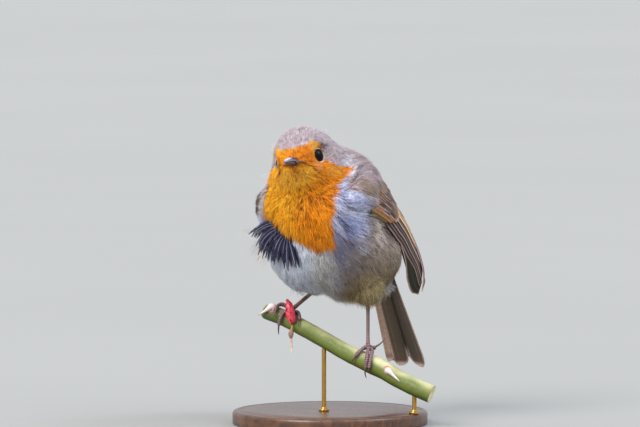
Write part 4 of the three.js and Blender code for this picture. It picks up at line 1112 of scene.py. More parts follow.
def strands_into(bag, made, width, shade=1.0, colours=None, seed=1, fade=None):
    """Adds the strands to a bag: rings of three corners and a pointed tip."""
    r = np.random.default_rng(seed)
    c, n = made["centre"], made["normal"]
    T, S, K1, _ = c.shape
    K = K1 - 1
    tangent = np.gradient(c, axis=2)
    side = unit(np.cross(n, tangent))
    roll = np.radians(r.normal(0, 16, (T, S, 1, 1)))
    up = n * np.cos(roll) + side * np.sin(roll)
    side = side * np.cos(roll) - n * np.sin(roll)
    w = (width * (0.6 + 0.4 * made["gap"]))[:, None] * r.uniform(0.75, 1.25, (T, S))
    prof = {3: [0.8, 1.0, 0.72], 2: [0.9, 0.85]}.get(K, [1.0 - 0.5 * (k / K) ** 1.5 for k in range(K)])
    if colours is None:
        seen = c[:, :, K - 1 : K1].mean(2)
        tip, root = plumage(seen.reshape(-1, 3))
        tip, root = tip.reshape(T, S, 3), root.reshape(T, S, 3)
    else:
        tip, root = colours
    tone = (1 + 0.08 * r.normal(0, 1, (T, 1)) + 0.09 * r.normal(0, 1, (T, S)))[..., None] * shade
    tone = np.clip(tone, 0.6, 1.4)
    if colours is None:
        few_dark, few_pale = flecks(made["root"])
        pick = r.random((T, S)) + 0.35 * (r.random((T, 1)) - 0.5)
        dk, pl = (pick < few_dark[:, None])[..., None], (pick > 1 - few_pale[:, None])[..., None]
        tip = np.where(dk, root * 0.75, tip)
        root = np.where(dk, root * 0.6, root)
        tip = np.where(pl, np.minimum(tip * 1.22 + 0.045 * tip.mean(-1, keepdims=True), 0.97), tip)
        root = np.where(pl, root * 0.5 + tip * 0.5, root)
    share = {3: [0.0, 0.42, 0.86, 1.0], 2: [0.12, 0.72, 1.0]}.get(K, [k / K for k in range(K + 1)]) if fade is None else fade
    verts, nors, cols, uvs = [], [], [], []
    uv0 = skin_uv(made["root"])[:, None]
    for k in range(K):
        ww = (w * prof[k])[..., None]
        verts += [c[:, :, k] - side[:, :, k] * ww, c[:, :, k] + side[:, :, k] * ww, c[:, :, k] + up[:, :, k] * ww * 0.55]
        nn = n[:, :, k]
        nors += [nn - side[:, :, k] * 0.45, nn + side[:, :, k] * 0.45, nn + (up[:, :, k] - nn) * 0.6]
    verts.append(c[:, :, K])
    nors.append(n[:, :, K])
    for k in range(K1):
        col = (root * (1 - share[k]) + tip * share[k]) * tone
        uv = uv0 + np.stack([made["y"] * 0.0012, np.full((T, S), (k / K - 0.5) * 0.0028)], -1)
        for _ in range(3 if k < K else 1):
            cols.append(col)
            uvs.append(uv)
    v = np.stack(verts, 2).reshape(-1, 3)
    m = 3 * K + 1
    base = np.arange(T * S) * m
    t = [[0, 1, 2]]
    q = []
    for k in range(K - 1):
        a = 3 * k
        for i, j in ((0, 1), (1, 2), (2, 0)):
            q.append([a + i, a + i + 3, a + j + 3, a + j])
    a = 3 * (K - 1)
    for i, j in ((0, 1), (1, 2), (2, 0)):
        t.append([a + i, a + 3, a + j])
    t, q = np.array(t), np.array(q)
    # side x up x along: check the turn of the first strand
    one, _, _ = v[:m], None, None
    if volume(one - one.mean(0), t, q) < 0:
        t, q = t[:, ::-1], q[:, ::-1]
    t = (base[:, None, None] + t[None]).reshape(-1, 3)
    q = (base[:, None, None] + q[None]).reshape(-1, 4)
    bag.add(v, t, q, col=np.stack(cols, 2).reshape(-1, 3), uv=np.stack(uvs, 2).reshape(-1, 2), nor=np.stack(nors, 2).reshape(-1, 3))
    return len(t) + 2 * len(q)


def is_head(p):
    l, f, u = in_head(p)
    return (np.sqrt(l * l + f * f + u * u) < 17.5) & (u > -9.5)


def zones(p):
    """Name of the coat piece that each root belongs to."""
    az, z = body_az(p), p[:, 2]
    name = np.full(len(p), "belly", dtype=object)
    l, f, u = in_head(p)
    o = orange_share(p) > 0.5
    name[z < 66] = "vent"
    name[(np.abs(az) > 46) & (z >= 62) & (az > 0)] = "flank_left"
    name[(np.abs(az) > 46) & (z >= 62) & (az < 0)] = "flank_right"
    name[(np.abs(az) > 100)] = "back"
    name[(np.abs(az) > 100) & (z < 86)] = "rump"
    name[(z > 106) & (np.abs(az) > 40)] = "neck"
    name[o & (az > 8)] = "breast_left"
    name[o & (az <= 8)] = "breast_right"
    name[o & (z > 102)] = "throat"
    h = is_head(p)
    name[h] = "head_left"
    name[h & (l < 0)] = "head_right"
    return name


zone = zones(roots)
total = 0
for k, name in enumerate(sorted(set(zone))):
    p = roots[zone == name]
    head = name.startswith("head")
    strands, rings = (12, 2) if head else (15, 2)
    if head:
        width = 0.085
    else:
        width = 0.125
    each = strands * (10 if rings == 2 else 16)
    parts = int(np.ceil(len(p) * each / 192000))
    order = np.argsort(body_az(p), kind="stable")
    for i, chunk in enumerate(np.array_split(order, parts)):
        bag = Bag()
        made = tufts(p[chunk], strands, rings, 100 + 10 * k + i)
        total += strands_into(bag, made, width, seed=500 + 10 * k + i)
        o = bag.build("coat_%s" % name + ("_%d" % (i + 1) if parts > 1 else ""), MAT_COAT)
        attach(o, "root")
print("coat", len(roots), "tufts", total, "triangles", {n: int((zone == n).sum()) for n in sorted(set(zone))})

# ---------------------------------------------------------------- eyes
for side, name in ((1, "left"), (-1, "right")):
    centre = head_point(side * EYE["side"], EYE["forward"], EYE["up"])
    axis = unit(side * LEFT * 6.15 + FWD * 2.8 + UP * 0.55)
    s1 = unit(np.cross(axis, UP))
    s2 = np.cross(s1, axis)
    th = np.linspace(0, np.pi, 34)[1:-1]
    ph = np.linspace(0, 2 * np.pi, 48, endpoint=False)
    r = EYE["radius"] * (1 + 0.025 * np.exp(-((th / 0.62) ** 2)))
    rings = centre + (r * np.cos(th))[:, None, None] * axis + (r * np.sin(th))[:, None, None] * (np.cos(ph)[None, :, None] * s1 + np.sin(ph)[None, :, None] * s2)
    v, t, q, row, ang = loft(rings)
    a = np.arccos(np.clip(unit(v - centre) @ axis, -1, 1))
    iris = srgb(16, 10, 9)
    col = blend(np.broadcast_to(srgb(3, 3, 4), (len(v), 3)), iris, ramp(a, 0.42, 0.47) * ramp(a, 0.95, 0.8))
    col = blend(col, srgb(40, 30, 28), ramp(a, 0.96, 1.04))
    bag = Bag()
    bag.add(v, t, q, col=col)
    o = bag.build("eyeball_" + name, MAT_EYE)
    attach(o, "root")
    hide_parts("eye_" + name)

# ---------------------------------------------------------------- bill
BILL_UP = -2.6
UPPER = np.array([(6.5, 3.5, 2.5, 0.0), (10.0, 3.5, 2.55, 0.1), (13.0, 3.1, 2.40, 0.25), (16.0, 2.45, 2.12, 0.5), (19.0, 1.85, 1.80, 0.78), (21.6, 1.3, 1.42, 0.95), (23.6, 0.8, 1.0, 0.92), (24.9, 0.3, 0.5, 0.75)])
LOWER = np.array([(6.5, 3.2, 1.75, 0.0), (10.0, 3.05, 1.75, 0.1), (13.0, 2.65, 1.55, 0.25), (16.0, 1.9, 1.35, 0.5), (19.0, 1.45, 1.12, 0.78), (21.6, 0.95, 0.85, 0.95), (23.6, 0.35, 0.45, 0.92)])
for name, table, way in (("upper", UPPER, 1), ("lower", LOWER, -1)):
    n = 40
    st = curve(table, n)
    rings, cols = [], []
    m = 34
    for k, (f, hw, h, droop) in enumerate(st):
        a = np.linspace(0, np.pi, m)
        x = hw * np.cos(a)
        ridge = 1 + 0.06 * np.exp(-(((a - np.pi / 2) / 0.3) ** 2)) * way
        up = 0.12 + h * np.sin(a) ** 0.82 * ridge
        if way > 0:  # nostril groove each side
            d = np.exp(-(((f - 16.6) / 1.5) ** 2)) * np.exp(-(((np.abs(np.cos(a)) - 0.66) / 0.16) ** 2))
            x = x - np.sign(np.cos(a)) * 0.42 * d
            up = up - 0.1 * d
        flat = np.linspace(-0.9, 0.9, 6) * hw
        xs = np.concatenate([x, flat])
        us = np.concatenate([up, np.full(6, 0.12)])
        rings.append(head_point(xs, np.full(len(xs), f), BILL_UP + droop + way * us))
        # the lower mandible's colour is darker than the upper's: painted shade under the bill
        base = srgb(98, 90, 116) if way > 0 else srgb(62, 47, 58)
        c = np.broadcast_to(base, (len(xs), 3)).copy()
        if way > 0:
            # painted shade: the sides of the upper mandible darker, fading out towards the tip
            c = blend(c, srgb(58, 44, 58), 0.75 * ramp(np.abs(np.concatenate([np.cos(a), np.sign(flat) * 1.0])), 0.55, 0.95) * ramp(np.full(len(xs), f), 22.5, 18.0))
        edge = ramp(np.abs(np.concatenate([np.cos(a), np.sign(flat) * 1.0])), 0.9, 0.99)
        c = blend(c, srgb(150, 130, 128), 0.5 * edge)
        # painted highlight: a pale bluish reflection along the top of the upper mandible towards its tip
        c = blend(c, srgb(192, 200, 230), 0.9 * ramp(np.full(len(xs), f), 15.5, 20.5) * (way > 0) * np.concatenate([ramp(np.abs(np.cos(a)), 0.95, 0.5), np.zeros(6)]))
        # painted shade at the very tip of both mandibles, stronger on the upper
        c = blend(c, srgb(36, 30, 40), 0.8 * ramp(np.full(len(xs), f), 23.4, 24.8) * (1 if way > 0 else 0.4))
        if way > 0:
            # painted shade in the nostril groove
            c = blend(c, srgb(28, 24, 30), 0.85 * np.concatenate([np.clip(d * 1.6, 0, 1), np.zeros(6)]))
            # painted highlight along the ridge of the upper mandible
            c = blend(c, srgb(132, 134, 160), 0.35 * np.concatenate([np.exp(-(((a - np.pi / 2) / 0.35) ** 2)), np.zeros(6)]))
        else:
            c = blend(c, srgb(150, 112, 104), 0.5 * ramp(np.full(len(xs), f), 15, 11))
        cols.append(c)
    v, t, q, row, ang = loft(np.array(rings))
    cols = np.array(cols)
    bag = Bag()
    bag.add(v, t, q, col=np.concatenate([cols.reshape(-1, 3), cols[0].mean(0)[None], cols[-1].mean(0)[None]]))
    o = bag.build("beak_" + name, MAT_BILL)
    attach(o, "root")
    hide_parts("bill_" + name)

# corners of the mouth: an upper and a lower lip that run back over the face on each side, and the bristles round the bill
GAPE = [(2.2, 15.9, -2.35), (3.0, 15.25, -2.45), (3.9, 14.75, -2.6), (4.8, 14.2, -2.85), (5.6, 13.6, -3.2)]
bag = Bag()
for side in (1, -1):
    for way in (1, -1):
        m = 26
        t = np.linspace(0, 1, m)
        c = curve(GAPE[: 5 if side > 0 else 4], m) * (1 if side > 0 else 0.93, 1 if side > 0 else 0.985, 1)
        line = head_point(c[:, 0] * side, c[:, 1] + 0.12, c[:, 2] + way * 0.19 * (1 - t) ** 0.6)
        tall = 0.30 * (1 - t) ** 0.75 + 0.06
        deep = 0.36 * (1 - 0.6 * t)
        d = unit(np.gradient(line, axis=0))
        out = unit(np.broadcast_to(LEFT * side * 0.75 + FWD * 0.65, d.shape))
        out = unit(out - d * np.sum(out * d, -1, keepdims=True))
        upw = np.cross(out, d)
        upw = upw * np.sign(upw @ UP)[:, None]
        a = np.linspace(0, 2 * np.pi, 16, endpoint=False)
        rings = line[:, None] + upw[:, None] * (tall[:, None] * np.cos(a))[..., None] + out[:, None] * (deep[:, None] * np.sin(a))[..., None]
        v, tt, q, row, ang = loft(rings)
        col = srgb(66, 52, 64) if way > 0 else srgb(84, 56, 52)
        cc = blend(np.broadcast_to(col, (len(v), 3)), srgb(84, 48, 40), ramp(row, 0.55, 1.0))
        # painted shade where the lips meet, on the side of each lip that faces the gape
        cc = blend(cc, srgb(36, 26, 30), 0.8 * ramp(way * np.cos(ang * 2 * np.pi), -0.2, -0.9))
        bag.add(v, tt, q, col=cc)
o = bag.build("beak_gape", MAT_BILL)
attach(o, "root")


def bristles():
    r = np.random.default_rng(44)
    rows, norm = [], []
    for side in (1, -1):
        for i in range(9):  # rictal bristles
            t = i / 8
            at = np.array([3.3 + 2.2 * t, 15.0 - 1.3 * t, -1.5 - 1.0 * t]) + r.normal(0, 0.12, 3)
            d = unit(np.array([0.75, 0.55 - 0.3 * t, -0.25 - 0.2 * t]) + r.normal(0, 0.10, 3))
            L = 2.6 - 0.6 * t
            rows.append([at * (side, 1, 1), (at + d * L * 0.5 + (0, 0.25, 0.1)) * (side, 1, 1), (at + d * L) * (side, 1, 1)])
            norm.append(1)
        for i in range(24):  # short stiff feathers over the nostrils
            t = r.random()
            at = np.array([0.3 + 2.3 * t, 15.1 - 0.55 * t, 0.05 - 1.1 * t**2]) + r.normal(0, 0.10, 3)
            d = unit(np.array([0.12 + 0.25 * t, 0.92, 0.0 - 0.25 * t]) + r.normal(0, 0.12, 3))
            L = r.uniform(0.9, 1.7)
            rows.append([at * (side, 1, 1), (at + d * L * 0.5 + (0, 0, 0.12)) * (side, 1, 1), (at + d * L) * (side, 1, 1)])
            norm.append(0)
    rows = np.array(rows)
    return head_point(rows[..., 0], rows[..., 1], rows[..., 2]), np.array(norm)

# ---------------------------------------------------------------- rose stem as a curve, as the solids have it
STEM = np.array([(-24.8, -15.5, 49.9, 2.7), (-23.6, -15.1, 49.4, 3.45), (-19.98, -13.7, 48.2, 3.6), (-15.68, -12.09, 46.5, 3.6), (-7.04, -8.93, 42.1, 3.65), (1.6, -5.78, 37.4, 3.65), (10.26, -2.65, 32.5, 3.7), (14.57, -1.06, 30.4, 3.85), (19.72, 0.88, 28.2, 4.15), (23.16, 2.17, 26.6, 4.25), (27.5, 3.72, 24.5, 4.05), (31.84, 5.27, 21.9, 3.95), (36.15, 6.86, 19.7, 3.95), (40.46, 8.46, 17.7, 4.0), (44.76, 10.05, 15.9, 4.05), (47.3, 11.0, 14.8, 4.05)])


def centripetal(points, t):
    """Point and tangent on the centripetal curve through points, t from 0 to 1."""
    p = np.asarray(points, float)
    n = len(p)
    x = np.clip(np.asarray(t, float), 0, 1) * (n - 1)
    i = np.minimum(x.astype(int), n - 2)
    w = (x - i)[..., None]
    ext = np.concatenate([[2 * p[0] - p[1]], p, [2 * p[-1] - p[-2]]])
    p0, p1, p2, p3 = ext[i], ext[i + 1], ext[i + 2], ext[i + 3]
    d = lambda a, b: np.maximum(np.sqrt(np.linalg.norm(a - b, axis=-1, keepdims=True)), 1e-4)
    a, b, c = d(p0, p1), d(p1, p2), d(p2, p3)
    t1 = ((p1 - p0) / a - (p2 - p0) / (a + b) + (p2 - p1) / b) * b
    t2 = ((p2 - p1) / b - (p3 - p1) / (b + c) + (p3 - p2) / c) * b
    c2, c3 = -3 * p1 + 3 * p2 - 2 * t1 - t2, 2 * p1 - 2 * p2 + t1 + t2
    return p1 + t1 * w + c2 * w**2 + c3 * w**3, unit(t1 + 2 * c2 * w + 3 * c3 * w**2)


def stem_frame(t):
    c, d = centripetal(STEM[:, :3], t)
    front = unit(np.stack([d[..., 1], -d[..., 0], np.zeros(d.shape[:-1])], -1))
    front = front * np.where(front[..., 1:2] > 0, -1, 1)
    up = unit(np.cross(front, d))
    up = up * np.where(up[..., 2:3] < 0, -1, 1)
    r = np.interp(np.asarray(t) * (len(STEM) - 1), np.arange(len(STEM)), STEM[:, 3])
    return c, d, front, up, r


def on_stem(x, angle, height):
    lo, hi = 0.0, 1.0
    for _ in range(40):
        m = (lo + hi) / 2
        if centripetal(STEM[:, :3], np.array(m))[0][0] < x:
            lo = m
        else:
            hi = m
    c, d, front, up, r = stem_frame(np.array((lo + hi) / 2))
    a = math.radians(angle)
    return c + up * (r + height) * math.cos(a) + front * (r + height) * math.sin(a)


LEG = {"left": ((19.8, 1.4, 35.6), (16.1, 6.4, 58.6)), "right": ((-13.9, -9.6, 50.3), (-5.2, 5.6, 63.4))}
TOES = {
    "left_1": ([(19.62, 2.4, 35.0), (19.27, 4.4, 34.5), (19.1, 6.9, 34.1)], [(19.03, 7.4, 34.25), (19.08, 11.24, 35.45), (19.58, 14.95, 37.73)]),
    "left_2": ([[17.6, 0, 2.4], [16.5, 26, 1.4], [16.0, 50, 1.0], [15.57, 72, 0.9]], [[15.5, 77, 0.9], [15.25, 95, 1.2], [14.96, 114, 0.8]]),
    "left_3": ([[18.7, 20, 2.2], [19.4, 44, 1.25], [20.3, 73, 1.05], [21.04, 106, 1.0]], [[21.12, 111, 1.1], [21.6, 131, 1.9], [22.5, 151, 2.5]]),
    "left_4": ([[20.2, 16, 1.9], [20.75, 37, 1.15], [21.6, 71, 1.05], [22.2, 96, 1.0]], [[22.27, 101, 1.0], [22.5, 114, 1.35], [22.7, 130, 0.9]]),
    "right_1": ([[-13.4, -36, 1.1], [-12.7, -72, 0.95], [-12.2, -112, 0.95]], [[-12.15, -120, 1.0], [-12.1, -142, 1.45], [-12.0, -164, 1.15]]),
    "right_2": ([[-12.2, -4, 1.1], [-10.9, 18, 1.0], [-9.95, 44, 0.9]], [[-9.85, 49, 0.9], [-9.3, 66, 1.25], [-9.06, 82, 0.8]]),
    "right_3": ([[-15.3, 30, 1.25], [-16.26, 58, 1.2], [-16.4, 89, 1.15], [-16.1, 122, 1.5]], [[-16.05, 127, 1.7], [-15.5, 147, 2.9], [-14.9, 157, 4.0]]),
    "right_4": ([[-16.2, -6, 1.4], [-18.6, 2, 1.75], [-19.6, 32, 1.4], [-19.3, 58, 1.3]], [[-19.2, 63, 1.3], [-18.95, 80, 1.4], [-18.5, 96, 0.85]]),
}
# the third leg colour is a painted highlight on the scutes
LEG_DARK, LEG_MID, LEG_HIGHLIGHT = srgb(44, 24, 22), srgb(92, 60, 60), srgb(164, 134, 138)


def sweep(c, radius, sides, outward=None, scale=0.0, pitch=1.0, flat=1.0, round_ends=(True, True)):
    """Tube along c with scutes on the side that faces outward. Gives the loft, each ring's arc length and the scutes' profile."""
    d, s, o = frames(c)
    if outward is not None:
        s = unit(outward - d * np.sum(outward * d, -1, keepdims=True))
        o = np.cross(d, s)
    arc = np.concatenate([[0], np.cumsum(np.linalg.norm(np.diff(c, axis=0), axis=1))])
    a = np.linspace(0, 2 * np.pi, sides, endpoint=False)
    front = np.clip(np.cos(a), 0, 1) ** 0.6
    fr = (arc / pitch) % 1.0
    saw = np.where(fr < 0.82, fr / 0.82, (1 - fr) / 0.18)
    r = radius[:, None] * (1 + scale * (saw[:, None] - 0.5) * front)
    pads = 1 + 0.5 * scale * np.sin(arc / (pitch * 1.9) * 2 * np.pi)[:, None] * np.clip(-np.cos(a), 0, 1)
    r = r * pads
    rings = c[:, None] + s[:, None] * (r * np.cos(a))[..., None] + o[:, None] * (r * flat * np.sin(a))[..., None]
    return rings, arc, saw, front, a


def limb_colours(rings, saw, front, base, dark, light, gain=1.0):
    n, m = rings.shape[:2]
    c = np.broadcast_to(base, (n, m, 3)).copy()
    # painted highlight over the rise of each scute on its front side, and painted shade in the groove at the foot of
    # each scute
    c = blend(c, light, 0.55 * gain * np.clip(saw, 0, 1)[:, None] * front[None])
    c = blend(c, dark, 0.6 * gain * (saw < 0.12)[:, None] * (0.3 + 0.7 * front[None]))
    nz = noise(rings, 1.6, 1)
    return c * (1 + 0.12 * nz)[..., None]


def finish_limb(bag, rings, cols):
    v, t, q, row, ang = loft(rings)
    col = np.concatenate([cols.reshape(-1, 3), cols[0].mean(0)[None], cols[-1].mean(0)[None]])
    bag.add(v, t, q, col=col)


def capped(c, radius, r0=True, r1=True):
    """Rounds the ends of a tube's radii."""
    arc = np.concatenate([[0], np.cumsum(np.linalg.norm(np.diff(c, axis=0), axis=1))])
    r = radius.copy()
    if r0:
        k = arc / radius[0]
        r = np.where(k < 1, r * np.sqrt(np.maximum(1 - (1 - k) ** 2, 0.02)), r)
    if r1:
        k = (arc[-1] - arc) / radius[-1]
        r = np.where(k < 1, r * np.sqrt(np.maximum(1 - (1 - k) ** 2, 0.02)), r)
    return r


for side in ("left", "right"):
    foot, heel = (np.array(x) for x in LEG[side])
    dr = unit(foot - heel)
    pts = np.array([heel - dr * 4.5, heel + (foot - heel) * 0.3, heel + (foot - heel) * 0.8, foot, foot + dr * 0.9])
    n = 120
    t = np.linspace(0, 1, n)
    c, _ = centripetal(pts, t)
    rad = np.interp(t * 6, np.arange(7), [1.2, 1.02, 0.80, 0.78, 0.92, 1.5, 1.2]) * (1.0 if side == "left" else 1.18)
    fwd = np.broadcast_to(np.array([0.25, -1.0, 0.15]), c.shape)
    arc = np.concatenate([[0], np.cumsum(np.linalg.norm(np.diff(c, axis=0), axis=1))])
    near = ramp(arc[-1] - arc, 9.0, 4.0)
    rings, arc, saw, front, a = sweep(c, capped(c, rad, False, True), 22, fwd, 0.0, 1.15, 0.94)
    amount = 0.08 + 0.20 * near
    bulge = 1 + amount[:, None] * (saw[:, None] - 0.5) * front[None]
    rings = c[:, None] + (rings - c[:, None]) * bulge[..., None]
    cols = limb_colours(rings, saw * (0.35 + 0.65 * near), front, LEG_MID, LEG_DARK, LEG_HIGHLIGHT, 1.0)
    if side == "right":
        cols = blend(cols, srgb(92, 58, 42), 0.75)
        # painted highlight: a pale stripe down one side of the right shank
        cols = blend(cols, srgb(168, 116, 78), 0.7 * np.clip(np.cos(a - 1.1), 0, 1)[None] ** 3 * np.ones(cols.shape[:2]))
    # painted shade: each shank darker at its top, where it goes in under the thigh feathers
    cols = blend(cols, LEG_DARK, 0.75 * ramp(arc, 15.5, 8.0)[:, None] * np.ones(cols.shape[:2]))
    bag = Bag()
    finish_limb(bag, rings, cols)
    o = bag.build("shank_" + side, MAT_LEG)
    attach(o, "root")
    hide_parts("tarsus_" + side)
    for k in (1, 2, 3, 4):
        key = "%s_%d" % (side, k)
        path, nail = TOES[key]
        pts = np.array([on_stem(*q) if not isinstance(q, tuple) else q for q in path])
        npts = np.array([on_stem(*q) if not isinstance(q, tuple) else q for q in nail])
        root = foot + dr * 0.2
        pts = np.concatenate([[pts[0] + (root - pts[0]) * 0.55], pts, [npts[0] + (npts[1] - npts[0]) * 0.06]])
        t = np.linspace(0, 1, 90)
        c, _ = centripetal(pts, t)
        rad = np.interp(t, [0, 0.2, 0.45, 0.7, 0.9, 1], [0.92, 0.88, 0.76, 0.80, 0.74, 0.6])
        rad = rad * (1.06 + 0.10 * np.sin(t * 15 + k * 2.1))
        axis = unit(pts[-1] - pts[0])
        if key == "left_1":
            outward = np.broadcast_to(np.array([0.1, -0.2, 1.0]), c.shape)
        else:
            near_c = []
            tt = np.linspace(0, 1, 400)
            sc = centripetal(STEM[:, :3], tt)[0]
            near_c = sc[np.argmin(np.linalg.norm(c[:, None] - sc[None], axis=2), axis=1)]
            outward = unit(c - near_c)
        rings, arc, saw, front, a = sweep(c, capped(c, rad), 18, outward, 0.26, 0.86, 0.95)
        cols = limb_colours(rings, saw, front, LEG_MID * 0.92, LEG_DARK, LEG_HIGHLIGHT, 1.0)
        bag = Bag()
        finish_limb(bag, rings, cols)
        o = bag.build("digit_" + key, MAT_LEG)
        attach(o, "root")
        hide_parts("toe_" + key)
        t = np.linspace(0, 1, 44)
        tip = npts[-1] + unit(npts[-1] - npts[-2]) * 0.25
        c, _ = centripetal(np.concatenate([[npts[0] - unit(npts[1] - npts[0]) * 0.5], npts[:-1], [tip]]), t)
        rad = np.interp(t, [0, 0.25, 0.6, 0.88, 1.0], [0.58, 0.56, 0.42, 0.24, 0.07])
        rings, arc, saw, front, a = sweep(c, capped(c, rad, True, False), 14, outward[-1:].repeat(len(c), 0), 0.0, 1.0, 0.72)
        cols = np.broadcast_to(srgb(66, 48, 46), rings.shape).copy()
        cols = blend(cols, srgb(34, 24, 24), ramp(t, 0.35, 0.9)[:, None] * np.ones(rings.shape[:2]))
        # painted highlight along the outer side of each claw
        cols = blend(cols, srgb(120, 96, 88), 0.35 * front[None] * np.ones(rings.shape[:2]))
        bag = Bag()
        finish_limb(bag, rings, cols)
        o = bag.build("nail_" + key, MAT_CLAW)
        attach(o, "root")
        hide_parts("claw_" + key)

# ---------------------------------------------------------------- rose stem, thorns, shoot and stipule
def bark_material():
    m, nt, p = mat_new("rose_bark")
    col = col_attribute(nt)
    n1 = noise_node(nt, 260, 4, 0.6)
    col = scaled_color(nt, col, ranged(nt, n1.outputs[0], 0.84, 1.14))
    spots = noise_node(nt, 1500, 2, 0.5)
    dark = ranged(nt, spots.outputs[0], 0.0, 0.55, 0.66, 0.74)
    col = mix_color(nt, col, tuple(srgb(86, 74, 40)), dark)
    pale = ranged(nt, noise_node(nt, 2100, 2, 0.5).outputs[0], 0.0, 0.45, 0.70, 0.78)
    col = mix_color(nt, col, tuple(srgb(214, 216, 170)), pale)
    nt.links.new(col, p.inputs["Base Color"])
    nt.links.new(ranged(nt, n1.outputs[0], 0.38, 0.55), p.inputs["Roughness"])
    p.inputs["Specular IOR Level"].default_value = 0.5
    bump(nt, p, noise_node(nt, 1900, 4, 0.6).outputs[0], 0.35, 0.00008)
    return m


MAT_BARK = bark_material()
MAT_THORN = horn_material("thorn", (0.3, 0.45), 0.55, 900, 0.2, 0.00006)
MAT_SHOOT = horn_material("young_shoot", (0.3, 0.5), 0.6, 1300, 0.4, 0.00008, coat=0.25)
MAT_DRY = horn_material("dry_stipule", (0.45, 0.65), 0.45, 1100, 0.4, 0.00008)

t = np.linspace(0, 1, 230)
c, d, front, up, r = stem_frame(t)
sides = 56
a = np.linspace(0, 2 * np.pi, sides, endpoint=False)
dirs = up[:, None] * np.cos(a)[None, :, None] + front[:, None] * np.sin(a)[None, :, None]
lump = 0.07 * noise(c[:, None] + dirs * 3.6, 3.0, 0) + 0.035 * noise(c[:, None] + dirs * 3.6, 1.1, 1)
rr = r[:, None] * (0.985 + 0 * a)[None] + lump
end = np.minimum(1, np.sqrt(np.clip((t * 80) / 1.2, 0.02, 1)))
rr = rr * np.where(t[:, None] < 0.015, end[:, None], 1.0)
rings = c[:, None] + dirs * rr[..., None]
# painted highlight along the top of the stem, stronger towards its right end, and painted shade along its underside
top = np.clip(np.cos(a - 0.35), -1, 1)[None] * np.ones((len(t), 1))
green, pale, deep = srgb(100, 112, 44), srgb(192, 188, 142), srgb(58, 74, 27)
col = np.broadcast_to(green, rings.shape).copy()
big = noise(c[:, None] + dirs * 3.6, 6.5, 2)
col = blend(col, pale, ramp(top + 0.25 * big, 0.62, 1.05) * (0.55 + 0.45 * ramp(t, 0.25, 0.6)[:, None]))
col = blend(col, deep, 0.85 * ramp(-top + 0.2 * big, -0.1, 0.8))
col = blend(col, deep, 0.55 * ramp(t, 0.30, 0.06)[:, None] * np.ones_like(top))
olive_b = ramp(noise(c[:, None] + dirs * 3.6, 9, 1), 0.2, 0.7) * ramp(t, 0.45, 0.6)[:, None]
col = blend(col, srgb(150, 136, 62), 0.5 * olive_b)
col = blend(col, srgb(158, 140, 96), 0.8 * ramp(t, 0.022, 0.004)[:, None] * np.ones_like(top))
bag = Bag()
# the cut end is stepped: bark, green rim, pale wood, pith
cuts, cut_cols = [], []
for share, inset, cc in ((0.985, 0.0, srgb(126, 140, 70)), (0.90, 0.05, srgb(150, 170, 90)), (0.82, 0.06, srgb(214, 206, 160)), (0.34, 0.04, srgb(206, 190, 146)), (0.30, -0.10, srgb(232, 222, 196)), (0.05, -0.12, srgb(228, 216, 190))):
    cuts.append(c[-1] + dirs[-1] * rr[-1][:, None] * share + d[-1] * inset * 1.0)
    cut_cols.append(np.broadcast_to(cc, (sides, 3)))
rings = np.concatenate([rings, np.array(cuts)])
col = np.concatenate([col, np.array(cut_cols)])
finish_limb(bag, rings, col)
o = bag.build("rose_stem", MAT_BARK)
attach(o, "root")
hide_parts("perch_stem")

THORNS = {"perch_thorn_1": (-20.9, 40, (-23.9, -20.9, 48.0), 1.75), "perch_thorn_2": (28.8, 66, (36.9, 2.5, 20.0), 1.45)}
for key, (x, ang, tip, rad0) in THORNS.items():
    root, lift = on_stem(x, ang, -1.2), on_stem(x, ang, 1.7 if rad0 > 1.6 else 0.9)
    tip = np.array(tip)
    mid = lift + (tip - lift) * 0.38
    pts = np.array([root, lift + (mid - lift) * 0.35, mid, tip + unit(tip - mid) * 0.2])
    t = np.linspace(0, 1, 60)
    c, _ = centripetal(pts, t)
    rad = np.interp(t, [0, 0.2, 0.33, 0.66, 0.92, 1.0], [rad0 * 1.7, rad0 * 1.2, rad0, rad0 * 0.6, 0.24, 0.05])
    norm = unit(lift - root)
    rings, arc, saw, fr, a2 = sweep(c, rad, 26, norm[None].repeat(len(c), 0), 0.0, 1.0, 0.86)
    w = np.broadcast_to(t[:, None], rings.shape[:2])
    lit = np.clip(np.cos(a2), -1, 1)[None] * np.ones((len(t), 1))
    cc = blend(np.broadcast_to(srgb(226, 200, 196), rings.shape), srgb(176, 128, 104), ramp(w, 0.28, 0.08))
    cc = blend(cc, srgb(246, 232, 226), 0.6 * ramp(lit, 0.2, 0.9) * ramp(w, 0.15, 0.4))
    cc = blend(cc, srgb(126, 92, 96), 0.6 * ramp(-lit, 0.1, 0.8))
    cc = blend(cc, srgb(92, 60, 44), 0.75 * ramp(w, 0.86, 0.98))
    bag = Bag()
    finish_limb(bag, rings, cc)
    o = bag.build(key.replace("perch_", "rose_"), MAT_THORN)
    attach(o, "root")
    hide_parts(key)

